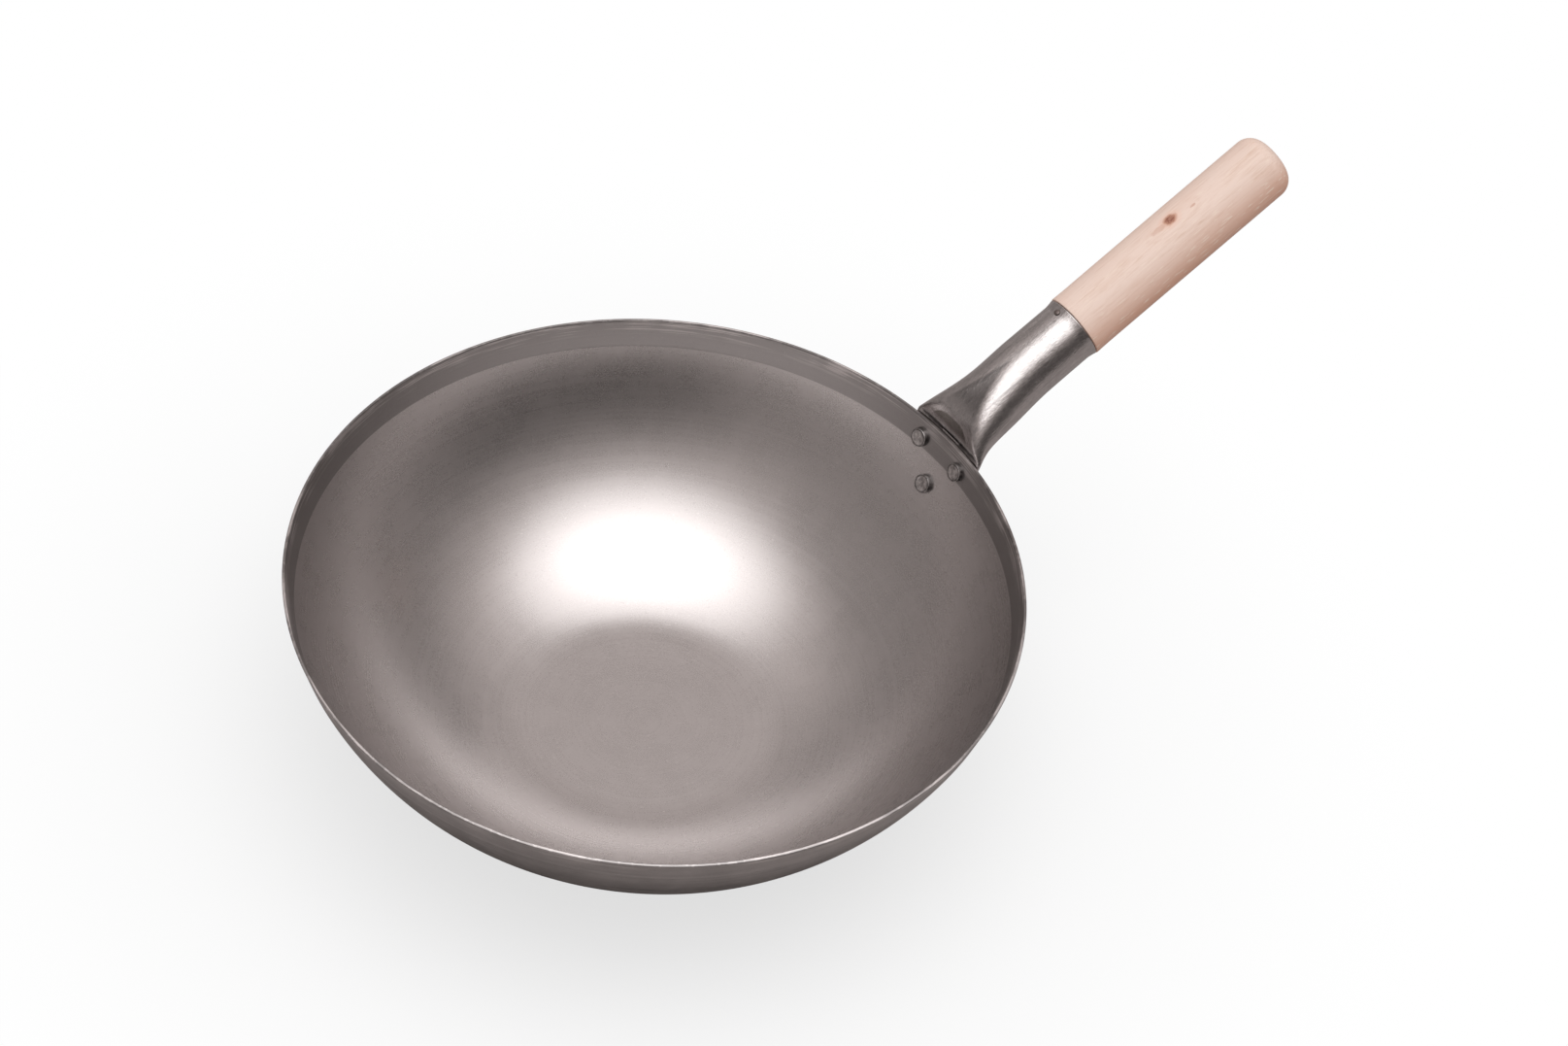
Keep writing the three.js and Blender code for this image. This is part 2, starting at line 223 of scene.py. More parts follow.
class WokStudio(bpy.types.PropertyGroup):
    """Camera, lamp and surroundings."""
    elevation: turn("Elevation", "Height of the camera over the horizon", 46.05)
    handle_turn: turn("Handle turn", "Turn of the handle from the camera's right", 41.5)
    roll: turn("Roll", "Roll of the camera", 7.004)
    distance: length("Distance", "From the rim's centre to the camera", 2.0)
    shift_right: length("Shift right", "Rim's centre to the right of the picture's centre", -61.39 * MM)
    shift_up: length("Shift up", "Rim's centre above the picture's centre", -25.26 * MM)
    focal_pixels: number("Focal length", "In pixels of the photograph", 4266)
    sensor: number("Sensor", "Sensor width in millimetres", 36)
    lamp_distance: length("Lamp distance", "From the rim's centre to the softbox", 1.6)
    lamp_lean: turn("Lamp lean", "Lean of the softbox towards the camera", 6)
    lamp_aside: turn("Lamp aside", "Lean of the softbox to the camera's right", 3.6)
    lamp_radius: length("Lamp radius", "Mean radius of the oval softbox", 1.02)
    lamp_stretch: number("Lamp stretch", "How much wider the softbox is across", 1.05)
    lamp_radiance: number("Lamp radiance", "Brightness of the softbox", 0.98)
    middle_radius: length("Middle radius", "Radius of the softbox's brighter middle", 0.62)
    middle_radiance: number("Middle radiance", "Added brightness of the middle", 0.82)
    fill: number("Fill", "Soft light from the surroundings", 0.58)
    mirrored: share("Mirrored", "Brightness of the surroundings in the metal", 0.63)
    mirrored_tint: colour("Mirrored tint", "Colour of the surroundings in the metal", (1, 0.9, 0.87))
    wall_distance: length("Wall distance", "From the wok to the studio's wall", 0.85)
    wall_gap: turn("Wall gap", "Angle left open at the far side, where the backdrop shows", 36)
    wall_plain: length("Wall plain", "Height up to which the wall is dark", 0.42)
    wall_height: length("Wall height", "Height at which the wall turns white", 1.1)
    wall_left_glow: share("Wall left glow", "Brightness of its foot on the camera's left", 0.53)
    wall_right_glow: share("Wall right glow", "Brightness of its foot on the camera's right", 0.42)
    wall_dark_glow: share("Wall dark glow", "Brightness of its foot where it is darkest", 0.19)
    wall_dark_turn: turn("Wall dark turn", "Darkest place, from behind the camera to its right", 35)
    flag_glow: share("Flag glow", "Brightness of the dark flag high on the camera's left", 0.6)
    floor_size: length("Floor size", "Radius of the floor", 6.0)
    floor: colour("Floor", "Colour of the floor", (0.93, 0.93, 0.93))
    floor_bounce: colour("Floor bounce", "Colour of the floor in the light that it throws back",
                         (0.44, 0.396, 0.383))
    # A painted shadow on the floor under the bowl, seen in the metal and in the light the floor throws
    floor_foot_shadow: colour("Floor foot shadow", "Colour of the painted shadow on the floor under the bowl, in the metal", (0.12, 0.105, 0.1))
    foot_near: length("Foot near", "Where the dark floor under the bowl starts to fade", 0.13)
    foot_far: length("Foot far", "Where the dark floor under the bowl ends", 0.185)
    floor_white: share("Floor white", "How far the floor beside the wok is lifted to plain white", 0.68)
    floor_near: length("Floor near", "Where the floor starts to fade to plain white", 0.12)
    floor_far: length("Floor far", "Where the floor is plain white", 0.42)


# Shader maths as Python expressions

class Wire:
    """A node's output. Arithmetic on it adds Math nodes."""

    def __init__(self, board, socket):
        self.board = board
        self.socket = socket

    def math(self, operation, *values):
        return self.board.node("ShaderNodeMath", {"operation": operation}, dict(enumerate(values)))

    def __add__(self, other):
        return self.math("ADD", self, other)

    __radd__ = __add__

    def __sub__(self, other):
        return self.math("SUBTRACT", self, other)

    def __rsub__(self, other):
        return self.math("SUBTRACT", other, self)

    def __mul__(self, other):
        return self.math("MULTIPLY", self, other)

    __rmul__ = __mul__

    def __truediv__(self, other):
        return self.math("DIVIDE", self, other)

    def __rtruediv__(self, other):
        return self.math("DIVIDE", other, self)

    def __pow__(self, other):
        return self.math("POWER", self, other)

    def __rpow__(self, other):
        return self.math("POWER", other, self)

    def __neg__(self):
        return self * -1

    def __abs__(self):
        return self.math("ABSOLUTE", self)

    def sine(self):
        return self.math("SINE", self)

    def at_least(self, other):
        return self.math("MAXIMUM", self, other)

    def angle_from(self, other):
        """The angle whose tangent is this over the other."""
        return self.math("ARCTAN2", self, other)

    def swing(self, strength):
        """A noise made to swing about 0, by a strength."""
        return (self - 0.5) * strength

    def above(self, low, high):
        """0 up to low, 1 from high on, smooth between."""
        return self.board.node("ShaderNodeMapRange", {"interpolation_type": "SMOOTHSTEP"},
                               {"Value": self, "From Min": low, "From Max": high})

    def between(self, rise_low, rise_high, fall_low, fall_high):
        """1 between a smooth rise and a smooth fall, 0 outside them."""
        return self.above(rise_low, rise_high) * (1 - self.above(fall_low, fall_high))


class Board:
    """The node tree of a material or of the world, emptied."""

    def __init__(self, owner):
        owner.use_nodes = True
        self.owner = owner
        self.tree = owner.node_tree
        self.tree.nodes.clear()

    def node(self, kind, settings, sockets, output=0):
        """Adds a node: its settings first, then the values or links of its sockets."""
        made = self.tree.nodes.new(kind)
        for name, value in settings.items():
            setattr(made, name, value)
        for name, value in sockets.items():
            if isinstance(value, Wire):
                self.tree.links.new(value.socket, made.inputs[name])
            else:
                made.inputs[name].default_value = value
        return Wire(self, made.outputs[output]) if made.outputs else None

    def outputs(self, wire, *names):
        """Other outputs of the node that a wire comes from."""
        return [Wire(self, wire.socket.node.outputs[name]) for name in names]

    def place(self):
        """The point on the surface, in metres."""
        return self.node("ShaderNodeTexCoord", {}, {}, "Object")

    def parts(self, vector):
        """X, Y and Z of a vector."""
        return self.outputs(self.node("ShaderNodeSeparateXYZ", {}, {"Vector": vector}), "X", "Y", "Z")

    def vector(self, x, y, z):
        return self.node("ShaderNodeCombineXYZ", {}, {"X": x, "Y": y, "Z": z})

    def noise(self, vector, scale, detail=2.0, roughness=0.5):
        sockets = {"Vector": vector, "Scale": scale, "Detail": detail, "Roughness": roughness}
        return self.node("ShaderNodeTexNoise", {}, sockets)

    def streaks(self, axes, across, along, detail=2.0, roughness=0.5):
        """A noise that is stretched along the third axis."""
        x, y, z = axes
        return self.noise(self.vector(x * across, y * across, z * along), 1.0, detail, roughness)

    def ray(self, kind):
        """1 for rays of a kind, 0 for others."""
        return self.node("ShaderNodeLightPath", {}, {}, kind)

    def blend(self, factor, first, second):
        """A colour between two others."""
        settings = {"data_type": "RGBA", "clamp_factor": True}
        return self.node("ShaderNodeMix", settings, {0: factor, 6: first, 7: second}, 2)

    def tones(self, tone, base, darkest, lightest):
        """A colour that runs from darker to lighter with a tone."""
        return self.blend(tone, shade(base, darkest), shade(base, lightest))

    def darken(self, base, factor):
        return self.blend(factor, base, BLACK)

    def matt(self, base):
        return self.node("ShaderNodeBsdfDiffuse", {}, {"Color": shade(base)})

    def mix(self, factor, first, second):
        """A shader between two others."""
        return self.node("ShaderNodeMixShader", {}, {0: factor, 1: first, 2: second})

    def bump(self, height, distance):
        return self.node("ShaderNodeBump", {}, {"Height": height, "Distance": distance}, "Normal")

    def end(self, shader, kind="ShaderNodeOutputMaterial"):
        """Leads a shader to the material's or the world's output."""
        self.node(kind, {}, {"Surface": shader})


def shade(base, factor=1.0):
    """A colour with its alpha, made lighter or darker by a factor."""
    return tuple(min(1.0, value * factor) for value in base) + (1.0,)


def from_centre(first, second):
    """Length of a pair of wires taken as a plane vector."""
    return (first * first + second * second) ** 0.5


# Plane curves, as rows of X and Z

def along(slope, distance=1.0):
    return distance * np.array([math.cos(slope), math.sin(slope)])


def right_of(direction):
    return np.array([direction[1], -direction[0]])


def quarter(centre, radii, start, steps):
    """Points on a quarter of a circle or of an oval that turns left from a start angle."""
    angles = start + np.linspace(0, QUARTER_TURN, steps)
    return [np.add(centre, np.multiply(radii, along(angle))) for angle in angles]


class Path:
    """A plane curve of close-set points, read by the distance along it."""

    def __init__(self, points):
        self.points = np.asarray(points)
        steps = np.linalg.norm(np.diff(self.points, axis=0), axis=1)
        self.travel = np.concatenate([[0.0], np.cumsum(steps)])
        self.directions = np.gradient(self.points, self.travel, axis=0, edge_order=2)
        self.length = self.travel[-1]

    def at(self, distance):
        """The point and the direction at a distance."""
        point = np.array([np.interp(distance, self.travel, axis) for axis in self.points.T])
        direction = np.array([np.interp(distance, self.travel, axis) for axis in self.directions.T])
        return point, direction / np.linalg.norm(direction)


PATH_STEPS = 400


def arc_like_path(start, start_slope, end, end_slope):
    """A smooth curve between two points with given end slopes, close to an arc of a circle."""
    bend = abs(end_slope - start_slope)
    radius = np.linalg.norm(end - start) / (2 * math.sin(bend / 2))
    reach = radius * math.tan(bend / 4) * 4 / 3
    t = np.linspace(0, 1, PATH_STEPS)[:, None]
    s = 1 - t
    first, second = start + along(start_slope, reach), end - along(end_slope, reach)
    return Path(s ** 3 * start + 3 * s ** 2 * t * first + 3 * s * t ** 2 * second + t ** 3 * end)


class BowlProfile:
    """The outer face of the bowl's wall, cut through its axis."""

    def __init__(self, bowl):
        self.bowl = bowl
        self.rim = np.array([bowl.rim_radius, bowl.height])
        crease = self.rim - along(bowl.band_slope, bowl.band_width)
        turns = np.linspace(0, bowl.start_slope, PATH_STEPS)
        corner = [[bowl.flat_radius + bowl.corner_radius * math.sin(a),
                   bowl.corner_radius * (1 - math.cos(a))] for a in turns]
        self.corner = Path(corner)
        wall_end = bowl.band_slope - bowl.band_crease
        self.wall = arc_like_path(self.corner.points[-1], bowl.start_slope, crease, wall_end)
        self.band = Path(np.linspace(crease, self.rim, 3))

    def station(self, below_rim, outside=0.0):
        """Point and direction at a distance below the rim, on a face outside the outer one."""
        if below_rim <= self.bowl.band_width:
            point, direction = self.band.at(self.bowl.band_width - below_rim)
        elif below_rim <= self.bowl.band_width + self.wall.length:
            point, direction = self.wall.at(self.wall.length - (below_rim - self.bowl.band_width))
        else:
            beyond = below_rim - self.bowl.band_width - self.wall.length
            point, direction = self.corner.at(self.corner.length - beyond)
        return point + outside * right_of(direction), direction


class HandleSpine:
    """The line that the socket follows: up the wall, over the bend and along the handle's axis."""

    def __init__(self, profile, socket, fasteners):
        self.profile, self.socket = profile, socket
        self.seat = fasteners.pair_drop - fasteners.tail
        self.middle = socket.clearance + socket.sheet
        self.origin = profile.rim + np.array([0, socket.lift])
        point, direction = profile.station(self.seat, self.middle)
        slope = math.atan2(direction[1], direction[0])
        self.bend = arc_like_path(point, slope, self.axis(socket.bend), socket.tilt)
        self.mouth = self.bend.length + socket.reach - socket.bend

    def axis(self, distance):
        return self.origin + along(self.socket.tilt, distance)

    def at(self, distance):
        """Point and direction at a distance from the seat; below it lies the tongue."""
        if distance <= 0:
            return self.profile.station(self.seat - distance, self.middle)
        if distance < self.bend.length:
            return self.bend.at(distance)
        return self.axis(self.socket.bend + distance - self.bend.length), along(self.socket.tilt)

    def handle_frame(self):
        """A frame at the mouth: +Z runs out along the handle and -X is its top."""
        x, z = self.axis(self.socket.reach)
        return Matrix.Translation((x, 0, z)) @ Matrix.Rotation(QUARTER_TURN - self.socket.tilt, 4, "Y")


def smooth_share(value, low, high):
    """0 at low, 1 at high, smooth between."""
    t = np.clip((value - low) / (high - low), 0, 1)
    return t * t * (3 - 2 * t)


# Meshes

def circle(steps):
    """Points round the axis, at a radius of 1."""
    turns = np.linspace(0, 2 * math.pi, steps, endpoint=False)
    return np.stack([np.cos(turns), np.sin(turns), 0 * turns], 1)


def lathe(profile, segments):
    """Points and faces of a profile of radius and height turned about +Z. It starts and ends on the axis."""
    rings = [circle(segments) * radius + (0, 0, z) for radius, z in profile[1:-1]]
    return skin(rings, (0, 0, profile[0][1]), (0, 0, profile[-1][1]))


def skin(rings, first, last):
    """Points and faces over rings of points, closed by a point at each end."""
    size = len(rings[0])
    points = np.vstack([*rings, [first], [last]])
    start, end = len(points) - 2, len(points) - 1
    top = (len(rings) - 1) * size
    faces = []
    for i in range(size):
        j = (i + 1) % size
        faces.append((start, j, i))
        faces.append((end, top + i, top + j))
        faces += [(k + i, k + j, k + size + j, k + size + i) for k in range(0, top, size)]
    return points, faces


def mesh_of(name, points, faces):
    mesh = bpy.data.meshes.new(name)
    mesh.from_pydata([tuple(p) for p in points], [], faces)
    work = bmesh.new()
    work.from_mesh(mesh)
    bmesh.ops.recalc_face_normals(work, faces=work.faces)
    work.to_mesh(mesh)
    work.free()
    return mesh


SHARP_EDGE = math.radians(40)


def dress(name, mesh, material, node):
    """Puts a finished mesh in the scene in place of a CAD node."""
    if not mesh.polygons:
        raise RuntimeError(f"{name} has no faces")
    mesh.shade_smooth()
    mesh.set_sharp_from_angle(angle=SHARP_EDGE)
    mesh.materials.clear()
    mesh.materials.append(material)
    piece = bpy.data.objects.new(name, mesh)
    bpy.context.scene.collection.objects.link(piece)
    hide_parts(node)
    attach(piece, BODY)
    return piece


HOLE_SEGMENTS = 32


def drilled(mesh, rods):
    """A mesh with round holes cut by rods, each given as a frame, a radius and its two ends along +Z."""
    tool = bmesh.new()
    half_facet = Matrix.Rotation(math.pi / HOLE_SEGMENTS, 4, "Z")
    for place, radius, low, high in rods:
        middle = place @ Matrix.Translation((0, 0, (low + high) / 2)) @ half_facet
        bmesh.ops.create_cone(tool, cap_ends=True, segments=HOLE_SEGMENTS, radius1=radius, radius2=radius,
                              depth=high - low, matrix=middle)
    tool_mesh = bpy.data.meshes.new("drill")
    tool.to_mesh(tool_mesh)
    tool.free()
    body = bpy.data.objects.new("drilled", mesh)
    drill = bpy.data.objects.new("drill", tool_mesh)
    for helper in (body, drill):
        bpy.context.scene.collection.objects.link(helper)
    hole = body.modifiers.new("holes", "BOOLEAN")
    hole.operation, hole.solver, hole.object = "DIFFERENCE", "EXACT", drill
    result = bpy.data.meshes.new_from_object(body.evaluated_get(bpy.context.evaluated_depsgraph_get()))
    for helper in (body, drill):
        bpy.data.objects.remove(helper)
    return result


def rivet_places(profile, fasteners):
    """Frames of the three rivets: +Z points into the bowl, and the origin is on the wall's outer face."""
    places = {}
    half = fasteners.pair_spacing / 2
    spots = {
        "rivet_upper_left": (fasteners.pair_drop, half),
        "rivet_upper_right": (fasteners.pair_drop, -half),
        "rivet_lower": (fasteners.lower_drop, 0),
    }
    for node, (drop, sideways) in spots.items():
        (x, z), direction = profile.station(drop)
        lean = Matrix.Rotation(-math.atan2(direction[1], direction[0]), 4, "Y")
        places[node] = Matrix.Rotation(sideways / x, 4, "Z") @ Matrix.Translation((x, 0, z)) @ lean
    return places


# How far a drill goes to each side of the wall, in sheets of the socket
DRILL_REACH = 4


def rivet_rods(profile, socket, fasteners):
    through = DRILL_REACH * socket.sheet
    radius = fasteners.shank + socket.clearance
    return [(place, radius, -through, through) for place in rivet_places(profile, fasteners).values()]


def nail_place(spine, socket, fasteners):
    """Frame of the nail: +Z points out of the handle, and the origin is on the socket's outside."""
    out = socket.radius + flare_at(spine, socket, spine.mouth - fasteners.nail_place)
    turned = spine.handle_frame() @ Matrix.Rotation(-fasteners.nail_turn, 4, "Z")
    outward = Matrix.Rotation(-QUARTER_TURN, 4, "Y")
    return turned @ Matrix.Translation((-out, 0, -fasteners.nail_place)) @ outward


def nail_rods(spine, socket, fasteners):
    radius = fasteners.nail + socket.clearance
    place = nail_place(spine, socket, fasteners)
    return [(place, radius, -fasteners.nail_length - socket.clearance, socket.radius)]


# Bowl

# Rings of points on each stretch of the profile
BAND_RINGS = 12
WALL_RINGS = 64
CORNER_RINGS = 14
BASE_RINGS = 8
EDGE_RINGS = 7


def bowl_profile_points(profile, bowl):
    """The whole closed profile: underside, outer wall, cut rim edge, inner wall and base."""
    edge_drop = bowl.sheet / math.tan(bowl.band_slope) + bowl.edge_round
    crease = bowl.band_width
    wall_foot = crease + profile.wall.length
    band = np.linspace(edge_drop, crease - bowl.crease_blend, BAND_RINGS)
    near_crease = [crease - bowl.crease_blend / 3, crease + bowl.crease_blend / 3]
    wall = np.linspace(crease + bowl.crease_blend, wall_foot, WALL_RINGS)
    corner = np.linspace(wall_foot, wall_foot + profile.corner.length, CORNER_RINGS)[1:]
    drops = [*band, *near_crease, *wall, *corner]
    outer = [profile.station(drop, 0)[0] for drop in drops]
    inner = [profile.station(drop, -bowl.sheet)[0] for drop in drops]
    outer_corner = profile.station(edge_drop, -bowl.edge_round)[0]
    inner_corner = profile.station(edge_drop, bowl.edge_round - bowl.sheet)[0]
    rim = quarter(outer_corner, bowl.edge_round, bowl.band_slope - QUARTER_TURN, EDGE_RINGS)[1:]
    rim += quarter(inner_corner, bowl.edge_round, bowl.band_slope, EDGE_RINGS)[:-1]
    flats = np.linspace(bowl.flat_radius, 0, BASE_RINGS)[1:]
    under = [(radius, 0.0) for radius in flats[::-1]]
    base = [(radius, bowl.sheet) for radius in flats]
    return [*under, *outer[::-1], *rim, *inner, *base]


def ripple(angle, height, depth, turns, climb=0.0, start=0.0):
    """A wave that runs a number of times round a piece and climbs with its height."""
    return depth * np.sin(turns * angle + climb * height + start)


def widened(points, scale):
    """Points moved from the axis by a scale for each."""
    return points * np.stack([scale, scale, np.ones_like(scale)], 1)


def wavy(points, bowl):
    """Moves the wall in and out a little, as a pressed and hand-trued sheet strays from a true round."""
    radius = np.hypot(points[:, 0], points[:, 1])
    angle = np.arctan2(points[:, 1], points[:, 0])
    up = np.clip((radius - bowl.flat_radius) / (bowl.rim_radius - bowl.flat_radius), 0, 1)
    wave = ripple(angle, up, depth=2, turns=2, start=0.8)
    wave += ripple(angle, up, depth=1.2, turns=5, climb=3, start=2.1)
    wave += ripple(angle, up, depth=0.8, turns=9, climb=-7)
    shift = bowl.waviness * wave * up * (1 - up)
    return widened(points, 1 + shift / np.maximum(radius, bowl.sheet))


# Socket

def half_height(socket, distance):
    """Half the height of the squashed tube, which opens from two layers of sheet to the full round."""
    opened = max(0.0, distance - socket.flat) / socket.fade
    return socket.radius - (socket.radius - socket.sheet) * math.exp(-opened)


def flare_at(spine, socket, distance):
    opened = max(0.0, 1 - (spine.mouth - distance) / socket.flare_length)
    return socket.flare * opened ** socket.flare_power


def section_curl(profile, socket, distance):
    """Curl of the section's middle line towards the bowl: as the wall's on the tongue, more above it."""
    dish_end = socket.dish_start + socket.dish_rise
    fade = 1 - smooth_share(distance, dish_end, dish_end + socket.dish_fade)
    dish = socket.dish * smooth_share(distance, socket.dish_start, dish_end)
    flat_half = (socket.radius - socket.sheet) * math.pi / 2
    return fade * (math.sin(profile.bowl.band_slope) / profile.bowl.rim_radius + 2 * dish / flat_half ** 2)


def neck_sway(socket, distance):
    """How far the neck strays to the right at a distance from the seat."""
    gone = np.clip((distance - socket.sway_start) / (socket.sway_end - socket.sway_start), 0, 1)
    return socket.sway * math.sin(math.pi * gone) ** 2


def tip_share(spine, socket, distance):
    """How much of the tongue's width is left by the round trim of its tip."""
    left = 1 - min(1.0, (distance + socket.tongue - spine.seat) / socket.tip)
    return math.sqrt(1 - left * left)


# Width of the groove as a share of the edge, and the share of the tip's trim over which it sets in
LAYER_GROOVE_WIDTH = 0.35
LAYER_GROOVE_FADE = 0.05


def section_ring(spine, socket, distance, inset=0.0):
    """A closed ring: a bent strip with round edges that keeps the tube's girth, shrunk by an inset."""
    point, direction = spine.at(distance)
    curl = section_curl(spine.profile, socket, distance)
    trim = tip_share(spine, socket, distance)
    flat = trim * (socket.radius - half_height(socket, distance)) * math.pi / 2
    half = half_height(socket, distance) + flare_at(spine, socket, distance) - inset
    edge = math.pi * half
    girth = 4 * flat + 2 * edge
    travel = np.arange(socket.ring_points) / socket.ring_points * girth
    marks = np.array([0, flat, flat + edge, 3 * flat + edge, 3 * flat + 2 * edge, girth])
    across = np.interp(travel, marks, [0, flat, flat, -flat, -flat, 0])
    turned = np.interp(travel, marks, [0, 0, math.pi, math.pi, 2 * math.pi, 2 * math.pi])
    groove = np.exp(-((np.sin(turned) ** 2 - 1) / LAYER_GROOVE_WIDTH) ** 2) * (np.abs(across) >= flat)
    half = half - socket.layer_groove * smooth_share(1 - trim, 0, LAYER_GROOVE_FADE) * groove * (inset == 0)
    bent = across * curl
    middle = np.sin(bent) / curl if curl > 0 else across
    rise = (1 - np.cos(bent)) / curl if curl > 0 else 0 * across
    sideways = middle + half * np.sin(turned - bent) - neck_sway(socket, distance)
    up = rise + half * np.cos(turned - bent)
    return np.stack([point[0] - up * direction[1], sideways, point[1] + up * direction[0]], 1)


# Rings on each stretch of the tube, of which the bore takes every third
TIP_RINGS = 25
TONGUE_RINGS = 30
OPENING_RINGS = 90
FLARE_RINGS = 12
LIP_RINGS = 5
BORE_STRIDE = 3


def socket_rings(spine, socket):
    """Rings of the outer skin from the tongue's tip to the mouth, over its lip and back down the bore."""
    tip, flare_start = spine.seat - socket.tongue, spine.mouth - socket.flare_length
    turns = np.linspace(0, QUARTER_TURN, TIP_RINGS)[1:]
    trimmed = tip + socket.tip * (1 - np.cos(turns))
    flat = np.linspace(trimmed[-1], socket.flat, TONGUE_RINGS)[1:]
    opening = np.linspace(socket.flat, flare_start, OPENING_RINGS)[1:]
    flare = np.linspace(flare_start, spine.mouth - socket.lip, FLARE_RINGS)[1:]
    outer = [section_ring(spine, socket, d) for d in [*trimmed, *flat, *opening, *flare]]
    near_lip = quarter((spine.mouth - socket.lip, socket.lip), socket.lip, -QUARTER_TURN, LIP_RINGS)[1:]
    lip = [section_ring(spine, socket, d, inset) for d, inset in near_lip]
    hollow = [d for d in opening[::-BORE_STRIDE] if half_height(socket, d) - socket.sheet > socket.clearance]
    bore = [section_ring(spine, socket, d, socket.sheet) for d in [spine.mouth, *flare[::-1], *hollow]]
    return [*outer, *lip, *bore]


# Grip, rivets and nail

# Rings on each stretch of the grip
TENON_RINGS = 12
CHAMFER_RINGS = 5
SHAFT_RINGS = 60
END_RINGS = 16
CROWN_RINGS = 8


def grip_profile(spine, socket, grip):
    """Radius and height from the tenon's end to the free end."""
    fit = socket.sheet + socket.clearance
    depths = np.linspace(-grip.tenon, 0, TENON_RINGS)
    tenon = [(half_height(socket, spine.mouth + z) - fit, z) for z in depths]
    shoulder, crown_base = socket.clearance, grip.length - grip.end_crown
    chamfer_centre = (grip.radius - grip.chamfer, shoulder + grip.chamfer)
    chamfer = quarter(chamfer_centre, grip.chamfer, -QUARTER_TURN, CHAMFER_RINGS)
    end_centre = (grip.radius - grip.end_radius, crown_base - grip.end_radius)
    end = quarter(end_centre, grip.end_radius, 0, END_RINGS)
    heights = np.linspace(shoulder + grip.chamfer, end[0][1], SHAFT_RINGS)[1:-1]
    shaft = [(grip.radius, z) for z in heights]
    flats = np.linspace(1, 0, CROWN_RINGS)[1:]
    crown = [(end[-1][0] * flat, crown_base + grip.end_crown * (1 - flat ** 2)) for flat in flats]
    return [(0, -grip.tenon), *tenon, (tenon[-1][0], shoulder), *chamfer, *shaft, *end, *crown]


# Share of the grip's length over which the sanding sets in, and how much it takes off everywhere
SANDING_START = 0.06
SANDED_OFF = 0.65


def hand_finished(points, grip):
    """Lets the shaft stray a little from a true round, as sanding by hand leaves it."""
    angle, up = np.arctan2(points[:, 1], points[:, 0]), points[:, 2] / grip.length
    outside = np.clip(up / SANDING_START, 0, 1)
    wave = ripple(angle, up, depth=0.25, turns=2, start=1.1)
    wave += ripple(angle, up, depth=0.175, turns=3, climb=5)
    wave += ripple(angle, up, depth=0.25, turns=0, climb=4.2, start=-1.4)
    return widened(points, 1 - grip.unevenness / grip.radius * outside * (SANDED_OFF - wave))


# Hammer marks: how many, how far from the middle, how wide and how deep, as shares of the head
DENTS = 9
DENT_SPREAD = 0.85
DENT_SIZES = (0.3, 0.6)
DENT_DEPTHS = (0.3, 1.0)
DEEPEST_DENT = 1.4


def hammered(points, centre_radius, fasteners, seed, low, high):
    """Heights of points with shallow hammer marks, pressed in along the axis between two heights."""
    marks = np.random.default_rng(seed)
    inside = smooth_share(points[:, 2], low, high)
    dent = np.zeros(len(points))
    for _ in range(DENTS):
        blow = marks.uniform(-DENT_SPREAD, DENT_SPREAD, 2) * centre_radius
        size = marks.uniform(*DENT_SIZES) * centre_radius
        away = np.hypot(points[:, 0] - blow[0], points[:, 1] - blow[1]) / size
        dent += marks.uniform(*DENT_DEPTHS) * np.exp(-away ** 4)
    return points[:, 2] - np.sign(high - low) * fasteners.dent * inside * np.minimum(dent, DEEPEST_DENT)


# Name of the distance from a rivet's axis that its finish reads, and rings on each stretch of a rivet
FROM_AXIS = "from_axis"
DOME_RINGS = 14
HEAD_RINGS = 4
FACE_RINGS = 14
TAIL_SEED = 100


def rivet_mesh(name, place, socket, bowl, fasteners, seed):
    """A flat hammered head inside the bowl, a shank, and a tail hammered to a dome outside."""
    layers = socket.clearance + 2 * socket.sheet
    head_low = bowl.sheet + fasteners.seat_gap
    head_high = bowl.sheet + socket.clearance + fasteners.head_height
    tail_low = -(layers + fasteners.seat_gap)
    tail_end = -(layers + socket.clearance + fasteners.tail_height)
    edge, flat = fasteners.head_edge, fasteners.head - fasteners.head_edge
    dome = quarter((0, tail_low), (fasteners.tail, tail_end - tail_low), 0, DOME_RINGS)[::-1]
    shank = [(fasteners.shank, tail_low), (fasteners.shank, head_low)]
    side = [(fasteners.head, z) for z in np.linspace(head_low, head_high - edge, HEAD_RINGS)]
    rounding = quarter((flat, head_high - edge), edge, 0, EDGE_RINGS)[1:]
    face = [(radius, head_high) for radius in np.linspace(flat, 0, FACE_RINGS)[1:]]
    points, faces = lathe([*dome, *shank, *side, *rounding, *face], fasteners.segments)
    angle = np.arctan2(points[:, 1], points[:, 0])
    upset = ripple(angle, 0, depth=0.02, turns=3, start=seed)
    upset += ripple(angle, 0, depth=0.012, turns=5, start=-2 * seed)
    points = widened(points, 1 + upset)
    points[:, 2] = hammered(points, fasteners.head, fasteners, seed, head_high - 2 * edge, head_high)
    points[:, 2] = hammered(points, fasteners.tail, fasteners, seed + TAIL_SEED, tail_low, tail_end)
    mesh = mesh_of(name, placed(points, place), faces)
    from_axis = mesh.attributes.new(FROM_AXIS, "FLOAT", "POINT")
    from_axis.data.foreach_set("value", np.hypot(points[:, 0], points[:, 1]) / fasteners.head)
    return mesh


def placed(points, place):
    matrix = np.array(place)
    return points @ matrix[:3, :3].T + matrix[:3, 3]


# How far the nail's head stands off the socket, as a share of its height
NAIL_STAND = 0.2
NAIL_RINGS = 10


